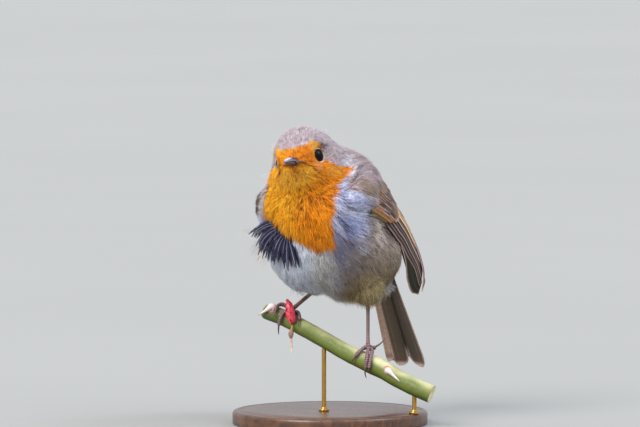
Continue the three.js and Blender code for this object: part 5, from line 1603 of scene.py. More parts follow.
# young shoot: a core with overlapping pointed scale leaves
SHOOT = np.array([(-9.5, -14.3, 44.4), (-10.0, -14.5, 46.7), (-10.8, -14.6, 49.0), (-11.3, -14.4, 51.4), (-12.1, -13.9, 53.4), (-13.2, -13.6, 55.3)])
SHOOT_R = [1.0, 1.9, 2.15, 2.0, 1.2, 0.4]
bag = Bag()
t = np.linspace(0, 1, 40)
c, dd = centripetal(SHOOT, t)
rad = np.interp(t * 5, np.arange(6), SHOOT_R)
rings, arc, saw, fr, a2 = sweep(c, capped(c, rad * 0.72, True, False), 20, None, 0.0)
finish_limb(bag, rings, np.broadcast_to(srgb(150, 24, 40), rings.shape).copy())
rs = np.random.default_rng(77)
for k in range(13):
    t0 = 0.02 + 0.62 * (k / 12)
    t1 = min(1.0, t0 + 0.42 - 0.06 * rs.random())
    turn0 = k * 2.4 + 0.6
    ns, nw = 16, 9
    s = np.linspace(0, 1, ns)
    w = np.linspace(-1, 1, nw)
    tt = t0 + (t1 - t0) * s
    cc, dc = centripetal(SHOOT, tt)
    e1 = unit(np.cross(dc, np.array([0.3, 1.0, 0.1])))
    e2 = np.cross(dc, e1)
    wide = rs.uniform(0.6, 0.95) * np.sin(np.pi * np.clip(s * 0.86 + 0.14, 0, 1)) ** 1.1
    turn0 = turn0 + rs.normal(0, 0.25) + rs.normal(0, 0.35) * s
    wide[-1] = 0.03
    rad_s = np.interp(tt * 5, np.arange(6), SHOOT_R) * 0.80 + 0.16 + 0.10 * np.sin(s * np.pi)
    flare = rs.uniform(-0.1, 1.5) * (0.35 + 0.65 * (k < 9))
    rad_s = rad_s + 0.12 * s + flare * np.clip(s - 0.45, 0, 1) ** 1.6 * 1.4
    phi = turn0[:, None] + wide[:, None] * w[None]
    place = lambda rr: cc[:, None] + (e1[:, None] * np.cos(phi)[..., None] + e2[:, None] * np.sin(phi)[..., None]) * rr[..., None]
    crease = 0.22 * (1 - np.abs(w))[None] * np.ones((ns, 1)) + 0.10 * np.sin(w * 7 + k)[None] * s[:, None]
    outer = place(rad_s[:, None] + crease)
    inner = place(rad_s[:, None] + crease - 0.14)
    V = np.concatenate([outer.reshape(-1, 3), inner.reshape(-1, 3)])
    i, j = np.meshgrid(np.arange(ns - 1), np.arange(nw - 1), indexing="ij")
    q0 = i * nw + j
    upq = np.stack([q0, q0 + 1, q0 + nw + 1, q0 + nw], -1).reshape(-1, 4)
    rim = np.concatenate([np.arange(nw), (np.arange(1, ns) * nw + nw - 1), ((ns - 1) * nw + np.arange(nw - 2, -1, -1)), (np.arange(ns - 2, 0, -1) * nw)])
    nx = np.roll(rim, -1)
    q = np.concatenate([upq, upq[:, ::-1] + ns * nw, np.stack([nx, rim, rim + ns * nw, nx + ns * nw], -1)])
    V, _, q = closed(V, None, q)
    S, W = np.meshgrid(s, w, indexing="ij")
    base = blend(np.broadcast_to(srgb(206, 34, 72), S.shape + (3,)), srgb(230, 120, 60), 0.8 * ramp(S, 0.3, 0.0) * (k % 3 == 0))
    base = blend(base, srgb(238, 120, 140), 0.55 * ramp(np.abs(W), 0.75, 1.0))
    base = blend(base, srgb(120, 16, 30), 0.8 * ramp(S, 0.62, 1.0))
    base = blend(base, srgb(232, 128, 44), 0.6 * ramp(np.abs(W), 0.8, 1.0) * (k % 4 == 1))
    base = base * (1 + 0.2 * noise(outer, 0.6, 1))[..., None]
    # painted shade: the inner face of each scale leaf, towards the core, is darker
    bag.add(V, q=q, col=np.concatenate([base.reshape(-1, 3), base.reshape(-1, 3) * 0.7]))
o = bag.build("young_shoot", MAT_SHOOT)
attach(o, "root")
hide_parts("perch_shoot")

STIPULE = np.array([(-9.45, -15.0, 43.9), (-9.5, -15.6, 41.95), (-9.43, -15.8, 39.53), (-9.35, -15.9, 36.68), (-9.06, -16.1, 31.7)])
t = np.linspace(0, 1, 90)
c, _ = centripetal(STIPULE, t)
c = c + np.stack([0.12 * np.sin(t * 9), 0.1 * np.cos(t * 7), 0 * t], -1) * ramp(t, 0.1, 0.5)[:, None]
rad = np.interp(t * 8, np.arange(9), [0.5, 0.42, 0.7, 1.22, 1.12, 0.5, 0.34, 0.42, 0.22])
rings, arc, saw, fr, a2 = sweep(c, capped(c, rad, False, True), 20, None, 0.0, 1.0, 0.85)
rings = rings + unit(rings - c[:, None]) * (0.07 * noise(rings, 0.8, 1) + 0.05 * np.sin(a2 * 5)[None] * ramp(t, 0.1, 0.3)[:, None])[..., None]
w = np.broadcast_to(t[:, None], rings.shape[:2])
cc = blend(np.broadcast_to(srgb(168, 120, 56), rings.shape), srgb(140, 104, 88), ramp(w, 0.18, 0.3))
cc = blend(cc, srgb(206, 172, 146), ramp(w, 0.58, 0.66))
cc = blend(cc, srgb(222, 204, 178), ramp(w, 0.86, 0.96))
bag = Bag()
finish_limb(bag, rings, cc * (1 + 0.15 * noise(rings, 0.9, 2))[..., None])
o = bag.build("dry_stipule", MAT_DRY)
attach(o, "root")
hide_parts("perch_stipule")

# ---------------------------------------------------------------- display stand
wood, nt, p = mat_new("stand_walnut")
tc = node(nt, "TexCoord").outputs["Object"]
mp = node(nt, "Mapping")
mp.inputs["Scale"].default_value = (1.0, 9.0, 4.0)
nt.links.new(tc, mp.inputs[0])
grain = noise_node(nt, 42, 6, 0.62, mp.outputs[0], 1.2)
fine = noise_node(nt, 420, 4, 0.6, mp.outputs[0])
col = mix_color(nt, tuple(srgb(52, 31, 20)), tuple(srgb(104, 66, 42)), ranged(nt, grain.outputs[0], 0, 1, 0.35, 0.65))
col = mix_color(nt, col, tuple(srgb(34, 20, 14)), ranged(nt, fine.outputs[0], 0.0, 0.55, 0.52, 0.7))
nt.links.new(col, p.inputs["Base Color"])
nt.links.new(ranged(nt, fine.outputs[0], 0.32, 0.5), p.inputs["Roughness"])
p.inputs["Coat Weight"].default_value = 0.25
p.inputs["Coat Roughness"].default_value = 0.2
bump(nt, p, fine.outputs[0], 0.15, 0.0001)
prof = [(0.05, 0.0), (42.4, 0.0), (42.8, 0.18), (43.0, 0.6), (43.0, 2.0), (43.0, 3.6), (43.0, 4.6), (42.86, 5.1), (42.59, 5.59), (42.1, 5.86), (41.6, 6.0), (40.4, 6.0), (40.2, 5.86), (39.7, 5.86), (39.5, 6.0), (30.0, 6.0), (15.0, 6.0), (0.05, 6.0)]
a = np.linspace(0, 2 * np.pi, 128, endpoint=False)
rings = np.array([[(x * math.cos(q), x * math.sin(q), z) for q in a] for x, z in prof])
v, t, q, row, ang = loft(rings)
bag = Bag()
bag.add(v, t, q)
o = bag.build("stand_base_wood", wood)
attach(o, "root")
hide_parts("stand_base")
o.data.set_sharp_from_angle(angle=math.radians(50))
brass, nt, p = mat_new("stand_brass")
nb = noise_node(nt, 600, 3)
mp = node(nt, "Mapping")
mp.inputs["Scale"].default_value = (1.0, 1.0, 0.05)
nt.links.new(node(nt, "TexCoord").outputs["Object"], mp.inputs[0])
nl = noise_node(nt, 5000, 2, 0.5, mp.outputs[0])
nt.links.new(mix_color(nt, tuple(srgb(196, 156, 84)), tuple(srgb(168, 126, 62)), nb.outputs[0]), p.inputs["Base Color"])
p.inputs["Metallic"].default_value = 1.0
nt.links.new(ranged(nt, nl.outputs[0], 0.22, 0.38), p.inputs["Roughness"])
bump(nt, p, nl.outputs[0], 0.08, 0.00002)
for k, share in enumerate((0.33, 0.86)):
    c, d, front, up, r = stem_frame(np.array(share))
    topz = c[2] - r * 0.985 / max(abs(up[2]), 0.5) + 0.15
    prof = [(0.02, 6.02), (2.2, 6.02), (2.3, 6.2), (2.3, 6.9), (2.15, 7.15), (1.5, 7.3), (1.3, 7.6), (1.25, 8.0), (1.02, 8.15), (1.0, 8.4), (1.0, topz - 0.4), (1.0, topz), (0.02, topz)]
    a = np.linspace(0, 2 * np.pi, 36, endpoint=False)
    rings = np.array([[(c[0] + x * math.cos(q), c[1] + x * math.sin(q), z) for q in a] for x, z in prof])
    v, t, q, row, ang = loft(rings)
    bag = Bag()
    bag.add(v, t, q)
    o = bag.build("stand_rod_brass_%d" % (k + 1), brass)
    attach(o, "root")
    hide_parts("stand_rod_%d" % (k + 1))
    o.data.set_sharp_from_angle(angle=math.radians(40))

# ---------------------------------------------------------------- single hairs and loose plumes
def bend(a, m, b, k):
    """Rows of k + 1 points on the curves from a past m to b."""
    t = np.linspace(0, 1, k + 1)[None, :, None]
    return a[:, None] * (1 - t) ** 2 + 2 * m[:, None] * t * (1 - t) + b[:, None] * t**2


def hairs(bag, pts, normal, width, root_col, tip_col, seed=1):
    """Closed three-sided hairs along rows of points (N, K + 1, 3)."""
    n = np.broadcast_to(unit(normal)[:, None, None, :], (len(pts), 1, pts.shape[1], 3))
    made = dict(centre=pts[:, None], normal=n, y=np.zeros((len(pts), 1)), gap=np.ones(len(pts)), root=pts[:, 0])
    tip = np.broadcast_to(tip_col, (len(pts), 3))[:, None]
    root = np.broadcast_to(root_col, (len(pts), 3))[:, None]
    return strands_into(bag, made, width, colours=(tip, root), seed=seed)


def outward(p):
    return unit(COAT(p)[..., 1:4])


def finish_coat(bag, name, mat=None):
    o = bag.build(name, mat or MAT_COAT)
    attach(o, "root")
    return o


# ruffled slate plumes hanging from under the right edge of the orange: root and tip of eleven, the rest between them
RUFFLED = np.array([((-8.2, -32.3, 91.0), (-23.7, -28.3, 84.4)), ((-6.8, -32.6, 88.9), (-22.4, -27.6, 81.3)), ((-4.9, -32.9, 87.2), (-20.4, -28.0, 78.7)), ((-2.7, -33, 85.1), (-16.6, -32, 76.9)), ((-0.5, -33, 83.8), (-14.2, -31.6, 73.9)), ((1.5, -32.7, 82.6), (-11.9, -29.6, 71.7)), ((3.5, -32.4, 81.8), (-8.1, -29.5, 71)), ((5.7, -31.7, 80.5), (-3.2, -30.2, 70.3)), ((7.9, -30.9, 79.7), (1.1, -30, 69.6)), ((9.9, -29.9, 78.8), (5.6, -29.3, 69.3)), ((11.8, -28.8, 78), (8, -27.5, 67.6))])
VIEW_LEFT, VIEW_UP = np.array([-0.8, -0.6, 0.0]), np.array([0.0, 0.0, 1.0])
rs = np.random.default_rng(31)
bag = Bag()
n = 34
k = np.linspace(0, 9, n)
rows = np.stack([np.stack([np.interp(k * (0.6 if e == 0 else 1.0), np.arange(11), RUFFLED[:, e, c]) for c in range(3)], -1) for e in (0, 1)], 1)
for i in range(n):
    a, b = rows[i]
    layer = (i * 7) % 3
    reach = np.interp(k[i], [0, 1, 3, 6, 9], [0.97, 0.90, 0.96, 0.96, 0.90])
    b = a + (b - a) * reach * rs.uniform(0.82, 1.04) + rs.normal(0, 0.5, 3) * (1 if i > 3 else 0.3)
    mid = (a + b) / 2
    up = outward(mid[None])[0]
    d = unit(b - a)
    side = unit(np.cross(up, d))
    side = side * np.sign(side @ (VIEW_LEFT + VIEW_UP * 0.8))
    bulge = np.interp(k[i], [0, 1, 2.5, 5, 7, 9], [0.9, 1.6, 2.4, 1.8, 1.0, -1.2]) * rs.uniform(0.75, 1.2)
    mid = mid + side * bulge + up * (0.4 + 0.5 * layer + rs.normal(0, 0.25))
    a = a - up * 0.6
    m = 40
    t = np.linspace(0, 1, m)[:, None]
    line = a * (1 - t) ** 2 + 2 * mid * t * (1 - t) + b * t**2
    tang = unit(np.gradient(line, axis=0))
    across = unit(np.cross(np.broadcast_to(up, tang.shape), tang))
    face = np.cross(tang, across)
    shaft = line[:: (m - 1) // 4][:5] if m % 4 == 1 else line[np.round(np.linspace(0, m - 1, 5)).astype(int)]
    pale = layer == 2
    bright = rs.uniform(0.6, 1.0)
    hairs(bag, (shaft + up * 0.12)[None], up[None], 0.12 if pale else 0.06, srgb(110, 112, 146) * bright if pale else srgb(40, 40, 60), srgb(214, 208, 228) * bright if pale else srgb(60, 60, 86), seed=i)
    s = np.linspace(0.12, 0.99, 62)
    s = np.concatenate([s, s + 0.006])
    way = np.repeat([1.0, -1.0], 62)
    at = np.clip(s, 0, 1) * (m - 1)
    j = np.minimum(at.astype(int), m - 2)
    w = (at - j)[:, None]
    p0 = line[j] * (1 - w) + line[j + 1] * w
    dd, bb = tang[j], across[j] * way[:, None]
    length = (2.5 - 0.9 * s) * rs.uniform(0.85, 1.12, len(s)) * np.clip(s / 0.2, 0.5, 1) * np.interp(s, [0.72, 0.9, 1.0], [1, 0.62, 0.25])
    th = np.radians((34 - 14 * s) * rs.uniform(0.85, 1.15, len(s)))[:, None]
    p1 = p0 + (dd * np.cos(th * 1.4) + bb * np.sin(th * 1.4)) * (length * 0.5)[:, None] - face[j] * 0.02
    p2 = p0 + (dd * np.cos(th) + bb * np.sin(th)) * length[:, None] - face[j] * (0.12 * length + rs.normal(0, 0.10, len(s)))[:, None]
    tone = rs.uniform(0.7, 1.3, (len(s), 1))
    # painted sheen: a share of the barbs, larger on a few plumes, are pale purple grey as painted highlights
    painted_sheen = (rs.random((len(s), 1)) < (0.45 if (i * 5) % 7 == 0 else 0.10))
    tipc = np.where(painted_sheen, srgb(104, 96, 128), srgb(38, 42, 66)) * tone
    # painted shade: the plumes of the lowest layer, under the others, are darker
    if layer == 0:
        tipc = tipc * 0.6
    hairs(bag, bend(p0, p1, p2, 2), face[j], 0.075, srgb(22, 24, 40) * tone, tipc, seed=200 + i)
finish_coat(bag, "coat_ruffle")

# loose pale wisps under the ruffled plumes, finest threads at their outer end, and wisps at the brow
bag = Bag()


def wisps(n, roots, tips, spread, width, col, lift=1.0, seed=0, k=4):
    r = np.random.default_rng(seed)
    u = r.random(n)
    ra = np.stack([np.interp(u, np.linspace(0, 1, len(roots)), np.array(roots)[:, c]) for c in range(3)], -1) + r.normal(0, spread * 0.4, (n, 3))
    tb = np.stack([np.interp(u, np.linspace(0, 1, len(tips)), np.array(tips)[:, c]) for c in range(3)], -1) + r.normal(0, spread, (n, 3))
    up = outward(ra)
    mid = (ra + tb) / 2 + up * lift * r.uniform(0.3, 1.0, (n, 1)) + r.normal(0, spread * 0.4, (n, 3))
    tone = r.uniform(0.8, 1.15, (n, 1))
    hairs(bag, bend(ra, mid, tb, k), up, width, np.clip(col * 0.8 * tone, 0, 1), np.clip(col * tone, 0, 0.97), seed=seed)


wisps(34, [(-19.0, -27.5, 80.5), (-15.0, -29.0, 77.5), (-11.0, -29.5, 75.5)], [(-19.5, -29.5, 74.8), (-17.5, -30.5, 72.0), (-13.8, -29.6, 70.2)], 0.8, 0.06, srgb(212, 190, 174), 1.2, 1)
wisps(26, [(-20.5, -27.0, 82.5), (-17.0, -28.6, 78.5)], [(-23.4, -29.0, 77.6), (-20.2, -30.2, 73.6)], 0.9, 0.045, srgb(186, 186, 190), 0.8, 2)
wisps(16, [(-20.0, -30.6, 87.2), (-22.0, -30.0, 85.0)], [(-29.0, -29.6, 87.0), (-28.0, -29.4, 84.0)], 0.7, 0.035, srgb(190, 192, 186), 0.4, 3)
for i, (at, way) in enumerate((((-10.1, 4.3, 5.0), (1.2, 2.7)), ((-11.2, 2.8, 4.1), (1.9, 1.7)), ((-9.0, 5.4, 5.8), (1.0, 1.9)), ((-11.6, 2.2, 2.8), (1.7, 0.8)))):
    rt = head_point(*at)
    tp = rt + VIEW_LEFT * way[0] + VIEW_UP * way[1]
    wisps(9, [rt, rt], [tp, tp], 0.28, 0.06, srgb(246, 236, 214) if i != 3 else srgb(250, 200, 110), 0.2, 10 + i, 3)
wisps(60, [(10.9, 28.6, 61.5), (8.6, 27.8, 58.0)], [(12.0, 32.6, 58.2), (8.6, 31.4, 54.6)], 0.7, 0.06, srgb(236, 234, 238), 1.4, 21)
wisps(14, [(6.0, -13.2, 129.6), (6.8, -12.6, 129.2)], [(7.4, -12.2, 131.3), (8.2, -11.6, 130.6)], 0.35, 0.06, srgb(238, 230, 232), 0.5, 22, 3)
wisps(12, [(-16.0, -22.0, 112.0), (-19.5, -20.0, 109.0)], [(-20.2, -21.0, 110.5), (-22.5, -19.5, 107.6)], 0.6, 0.05, srgb(228, 222, 226), 0.5, 23, 3)
# pale fringe that sticks out between the orange and the right wing
r = np.random.default_rng(61)
cand = roots[(body_az(roots) < -27) & (body_az(roots) > -37) & (roots[:, 2] > 91) & (roots[:, 2] < 106)]
cand = settle(cand, COAT, -0.5, 2)
pick = cand[r.integers(0, len(cand), 300)] + r.normal(0, 0.3, (300, 3))
up = outward(pick)
d = unit(VIEW_LEFT * 1.0 + VIEW_UP * -0.25 + r.normal(0, 0.22, (300, 3)) + np.array([0.0, 0.35, 0.0]))
d = unit(d - up * np.sum(d * up, -1, keepdims=True) * 0.75)
L = r.uniform(1.4, 3.0, (300, 1))
tone = r.uniform(0.75, 1.1, (300, 1))
hairs(bag, bend(pick, pick + d * L * 0.5 + up * 0.45, pick + d * L + up * r.uniform(0.1, 0.9, (300, 1)), 3), up, 0.06, srgb(160, 158, 168) * tone, np.clip(srgb(216, 211, 216) * tone, 0, 0.97), seed=62)
rows, kind = bristles()
hairs(bag, bend(rows[:, 0], rows[:, 1], rows[:, 2], 3), np.broadcast_to(UP, (len(rows), 3)), np.where(kind == 1, 0.035, 0.06), srgb(48, 30, 24), np.where((kind == 1)[:, None], srgb(28, 20, 18), srgb(96, 62, 44)), seed=45)
finish_coat(bag, "coat_wisps")

# long pale and dark feathers that follow drawn lines over the coat: points, number, spread, length, width, colour, height
LINES = [
    ([(22.2, -21.0, 96.2), (25.2, -15.6, 95.2), (26.6, -11.0, 94.6)], 16, 0.30, 6.0, 0.10, (230, 228, 240), 0.45),
    ([(22.4, -21.0, 97.1), (25.4, -15.4, 96.0), (26.8, -10.6, 95.2)], 22, 0.28, 5.0, 0.09, (70, 72, 110), 0.15),
    ([(24.2, -9.5, 101.4), (26.0, -4.3, 99.8), (26.6, -1.0, 98.4)], 18, 0.40, 3.4, 0.11, (222, 214, 226), 0.5),
    ([(21.4, -17.8, 102.4), (23.2, -13.8, 102.0), (24.6, -10.6, 101.4)], 16, 0.45, 3.4, 0.10, (214, 214, 232), 0.4),
    ([(21.8, -19.5, 101.6), (25.0, -13.2, 100.6), (27.2, -6.8, 98.2)], 16, 0.8, 4.5, 0.09, (208, 208, 230), 0.35),
    ([(22.0, -20.0, 99.2), (25.4, -13.8, 97.8), (27.2, -8.4, 96.0)], 18, 0.8, 4.5, 0.09, (208, 210, 232), 0.35),
    ([(22.6, -18.0, 100.2), (25.6, -12.0, 99.2), (27.6, -6.0, 97.0)], 18, 0.3, 5.5, 0.08, (96, 98, 134), 0.25),
    ([(19.8, -24.6, 93.6), (21.0, -22.8, 90.0), (22.6, -20.6, 86.0)], 26, 0.45, 5.5, 0.10, (206, 202, 222), 0.35),
    ([(20.6, -23.6, 94.6), (22.6, -21.0, 91.0), (24.4, -18.2, 87.6)], 26, 0.5, 5.0, 0.09, (56, 60, 92), 0.2),
    ([(21.1, -23.2, 86.3), (22.6, -20.8, 84.2), (23.8, -18.4, 82.0)], 18, 0.18, 4.5, 0.09, (116, 74, 56), 0.35),
    ([(23.4, -19.6, 90.0), (24.8, -17.0, 87.0), (25.6, -15.0, 84.0)], 16, 0.5, 3.5, 0.09, (52, 54, 82), 0.2),
    ([(23.9, -17.9, 82.6), (24.8, -15.6, 79.6)], 10, 0.3, 3.0, 0.08, (48, 48, 70), 0.2),
]
bag = Bag()
for i, (pts, n, spread, length, width, colour, level) in enumerate(LINES):
    spread, width = spread * 1.9, width * 0.52
    r = np.random.default_rng(700 + i)
    pts = settle(np.array(pts, float), COAT, 0.0, 3)
    seg = np.linalg.norm(np.diff(pts, axis=0), axis=1)
    total_len = seg.sum()
    cum = np.concatenate([[0], np.cumsum(seg)])
    s0 = r.uniform(-0.05, 0.75, n) * total_len
    K = 4
    t = np.linspace(0, 1, K + 1)
    s = s0[:, None] + length * r.uniform(0.7, 1.15, (n, 1)) * t
    q = np.stack([np.interp(s, cum, pts[:, c]) for c in range(3)], -1)
    over = np.maximum(s - total_len, 0)[..., None]
    q = q + over * unit(pts[-1] - pts[-2])
    up = outward(q)
    b = unit(np.cross(up, unit(pts[-1] - pts[0])))
    off = r.normal(0, spread, (n, 1, 1)) * (1 - 0.5 * t[None, :, None]) + 0.25 * np.sin(r.uniform(0, 6, (n, 1, 1)) + 3 * t[None, :, None]) * spread
    q = q + b * off
    want = level * (0.15 + 0.85 * np.sin(np.pi * np.clip(t * 0.8 + 0.1, 0, 1)))[None] * r.uniform(0.6, 1.3, (n, 1)) - 0.9 * (t[None] < 0.01)
    f = COAT(q)
    g = f[..., 1:4]
    q = q + g * ((want - f[..., 0]) / np.maximum(np.sum(g * g, -1), 0.2))[..., None]
    tone = r.uniform(0.7, 1.1, (n, 1))
    c = srgb(*colour)
    hairs(bag, q, up[:, 1], width, np.clip(c * 0.75 * tone, 0, 0.97), np.clip(c * tone, 0, 0.97), seed=800 + i)
finish_coat(bag, "coat_long_feathers")

# single feather tips that stand clear of the coat all over, for its soft outline
r = np.random.default_rng(91)
bag = Bag()
body = roots[~is_head(roots)]
body = body[(orange_share(body) < 0.5) | (r.random(len(body)) < 0.5)]
p = body[r.choice(len(body), min(2300, len(body)), replace=False)]
made = tufts(p, 4, 3, 92)
grow = np.array([0.0, 0.12, 0.55, 1.0])
rise = r.uniform(0.25, 1.15, (len(p), 4)) * (1 + 0.5 * ramp(p[:, 2], 72, 62))[:, None]
made["centre"] = made["centre"] + made["normal"] * (rise[..., None] * grow)[..., None]
strands_into(bag, made, 0.06, seed=93, shade=1.06)
low = roots[(roots[:, 2] < 64) & (roots[:, 1] > -16)]
p = low[r.choice(len(low), min(520, len(low)), replace=False)]
made = tufts(p, 5, 3, 96)
low_bag = Bag()
rise = r.uniform(0.6, 2.2, (len(p), 5)) * (1 - 0.6 * belly_tuck(p))[:, None]
drop = np.array([0, -0.1, -0.45, -1.0])[None, None, :, None] * np.array([0, 0, 1.0]) * r.uniform(0.2, 1.0, (len(p), 5, 1, 1)) * ((1 + 2.2 * np.clip(noise(p, 3.4, 0), 0, 1)) * (1 - 0.8 * belly_tuck(p)))[:, None, None, None]
made["centre"] = made["centre"] + made["normal"] * (rise[..., None] * grow)[..., None] + drop
strands_into(low_bag, made, 0.07, seed=97, shade=1.15)
finish_coat(low_bag, "coat_low_fluff")
hd = roots[is_head(roots)]
l, f, u = in_head(hd)
hd = hd[(f < 9) & (eye_distance(hd)[0] > 5)]
p = hd[r.choice(len(hd), min(620, len(hd)), replace=False)]
made = tufts(p, 3, 3, 94)
made["centre"] = made["centre"] + made["normal"] * ((r.uniform(0.1, 0.5, (len(p), 3)))[..., None] * grow)[..., None]
strands_into(bag, made, 0.045, seed=95, shade=1.08)
finish_coat(bag, "coat_loose")

# ---------------------------------------------------------------- feathers with vanes
VANE_V = np.array([0.0, 0.05, 0.11, 0.19, 0.28, 0.34, 0.40, 0.52, 0.68, 0.85, 1.0])
VANE_R = 0.34  # where the shaft runs


def vane_shape(rows, tip_from=0.82, root_to=0.10, point=1.0):
    """Share of the full width along a feather."""
    s = 1 - (1 - np.linspace(0, 1, rows)) ** 1.45
    w = np.ones(rows)
    k = s > tip_from
    w[k] = np.sqrt(np.maximum(1 - ((s[k] - tip_from) / (1 - tip_from)) ** (2 * point), 0.004))
    k = s < root_to
    w[k] *= 0.45 + 0.55 * (s[k] / root_to)
    return s, w


def atlas_cell(i, count):
    cols = int(np.ceil(np.sqrt(count * 0.5)))
    rows = int(np.ceil(count / cols))
    return np.array([(i % cols) / cols, (i // cols) / rows]), np.array([1 / cols, 1 / rows])


def add_vane(bag, place, rows, wide, thick, paint, cell, length, ragged=0.0, seed=0, arch=0.25, tip_from=0.82, point=1.0, serial=0.0):
    """One closed feather blade. place(s, y, h) gives points from share s along it, mm y across it from the shaft and height h."""
    r = np.random.default_rng(seed)
    s, w = vane_shape(rows, tip_from, point=point)
    V = VANE_V[None].repeat(rows, 0)
    y = (V - VANE_R) * wide * w[:, None]
    ss = s[:, None].repeat(len(VANE_V), 1)
    if ragged:
        edge = np.abs(V - VANE_R) ** 1.5
        ss = ss + ragged * edge * r.normal(0, 1, V.shape) * 0.5
    u = (V - VANE_R) / (1 - VANE_R)
    ridge = 0.11 * np.exp(-(((V - VANE_R) / 0.035) ** 2)) * (1 - 0.6 * ss)
    h = ridge - arch * u * u * (0.4 + 0.6 * w[:, None])
    top = place(ss, y, h + thick / 2)
    low = place(ss, y, h - thick / 2 - 0.6 * ridge)
    n, m = V.shape
    v = np.concatenate([top.reshape(-1, 3), low.reshape(-1, 3)])
    i, j = np.meshgrid(np.arange(n - 1), np.arange(m - 1), indexing="ij")
    a = i * m + j
    up = np.stack([a, a + 1, a + m + 1, a + m], -1).reshape(-1, 4)
    dn = up[:, ::-1] + n * m
    rim = np.concatenate([np.arange(m), (np.arange(1, n) * m + m - 1), ((n - 1) * m + np.arange(m - 2, -1, -1)), (np.arange(n - 2, 0, -1) * m)])
    nxt = np.roll(rim, -1)
    sides = np.stack([nxt, rim, rim + n * m, nxt + n * m], -1)
    q = np.concatenate([up, dn, sides])
    v, _, q = closed(v, None, q)
    col = paint(ss, V, w[:, None].repeat(m, 1))
    yy = y
    c = ss * length - np.abs(yy) * 0.9
    vane = np.stack([c * 5.0, yy * 0.5 + serial * 3.1, np.full(c.shape, serial * 7.3)], -1)
    origin, size = cell
    uv = origin + size * (0.04 + 0.92 * np.stack([V * 0.48, s[:, None].repeat(m, 1)], -1))
    uv2 = uv + size * np.array([0.46, 0])
    bag.add(v, q=q, col=np.concatenate([col[0].reshape(-1, 3), col[1].reshape(-1, 3)]), uv=np.concatenate([uv.reshape(-1, 2), uv2.reshape(-1, 2)]), vane=np.concatenate([vane.reshape(-1, 3)] * 2))


def chord_at(a):
    return np.linalg.norm(spline(W_HIGH, a) - spline(W_LOW, a), axis=-1)


def painter(main, inner, fringe, rim, fringe_w=0.09, rim_len=0.05, streak=0.12, shaft=(60, 46, 40), under=None):
    main, inner, fringe, rim, shaft = (srgb(*c) for c in (main, inner, fringe, rim, shaft))
    under = srgb(*(under or (96, 86, 78)))

    def paint(s, v, w):
        c = blend(np.broadcast_to(main, s.shape + (3,)), inner, ramp(v, 0.3, 0.5))
        c = blend(c, shaft, 0.8 * ramp(np.abs(v - VANE_R), 0.05, 0.0))
        c = blend(c, fringe, ramp(v, fringe_w * 1.6, fringe_w * 0.5) * ramp(s, 0.02, 0.15))
        edge = np.maximum(ramp(s, 1 - rim_len * 1.8, 1 - rim_len * 0.6), ramp(v, 0.9, 1.0) * ramp(s, 0.7, 0.85))
        c = blend(c, rim, 0.9 * edge)
        u = blend(np.broadcast_to(under, s.shape + (3,)), rim, 0.7 * edge)
        return c, u

    return paint


# Folded wing: each feather's lower edge as shares b at stations a, then root and tip station, width, height, colours.
FLIGHT_A = [2.8, 3.5, 4.5, 6.0, 7.0, 8.5, 9.2]
FLIGHT_B = [
    [0.02, 0.06, 0.14, 0.10, -0.04, -0.06, 0.14],
    [0.05, 0.05, 0.07, 0.22, 0.42, 0.54, 0.6],
    [0.10, 0.12, 0.15, 0.33, 0.53, 0.66, 0.7],
    [0.16, 0.19, 0.23, 0.43, 0.62, 0.76, 0.8],
    [0.24, 0.27, 0.32, 0.52, 0.71, 0.86, 0.9],
    [0.32, 0.36, 0.41, 0.61, 0.79, 0.95, 1.0],
    [0.38, 0.43, 0.49, 0.69, 0.86, 1.0, 1.0],
    [0.44, 0.50, 0.57, 0.76, 0.92, 1.0, 1.0],
    [0.58, 0.63, 0.69, 0.84, 0.96, 1.0, 1.0],
    [0.72, 0.76, 0.81, 0.92, 1.0, 1.0, 1.0],
]
FLIGHT_TIP = [9.22, 8.62, 8.45, 8.2, 7.9, 7.5, 7.1, 6.75, 5.75, 4.9]
FLIGHT_W = [9.6, 5.6, 5.4, 5.4, 5.4, 5.6, 5.8, 7.2, 7.0, 6.4]
DARK, PINK, BUFF = (62, 50, 45), (186, 158, 146), (226, 178, 118)
FLIGHT_PAINT = [
    painter((33, 33, 13), (27, 27, 11), (206, 168, 164), (198, 158, 154), 0.04, 0.022, under=(88, 80, 70)),
    painter((36, 28, 24), (24, 19, 16), (150, 124, 116), (150, 118, 110), 0.09, 0.03),
    painter((26, 20, 17), (20, 16, 14), (132, 108, 98), (150, 118, 110), 0.08, 0.03),
    painter((44, 34, 30), (24, 19, 16), (166, 138, 128), (160, 130, 120), 0.10, 0.03),
    painter((24, 18, 16), (18, 14, 12), (128, 104, 94), (160, 130, 120), 0.08, 0.03),
    painter((70, 56, 51), (22, 18, 15), (184, 156, 148), (170, 140, 132), 0.14, 0.03),
    painter((22, 17, 15), (16, 13, 12), (124, 102, 92), (170, 140, 132), 0.07, 0.03),
    painter((164, 130, 112), (120, 96, 84), (240, 190, 128), (214, 176, 146), 0.16, 0.05, shaft=(110, 84, 70)),
    painter((132, 108, 96), (92, 76, 66), (214, 176, 140), (206, 172, 146), 0.12, 0.05),
    painter((120, 100, 88), (98, 82, 72), (180, 152, 128), (186, 156, 134), 0.10, 0.05),
]


def wing_place(side, a0, a1, edge_a, edge_b, wide, h0, h1):
    def place(s, y, h):
        a = a0 + (a1 - a0) * s
        chord = np.maximum(chord_at(a), 6.0)
        b = np.interp(a, edge_a, edge_b) + (VANE_R * wide + y) / chord
        cap = 1.0 + 0.16 * ramp(a, 6.2, 8.6) + 0.55 * ramp(a, 8.2, 9.1)
        over = np.maximum(b - cap, 0)
        return wing_point(a, np.minimum(b, cap + 0.02 * np.tanh(over * 10)), h0 + (h1 - h0) * s + h - over * 2.2, side)

    return place


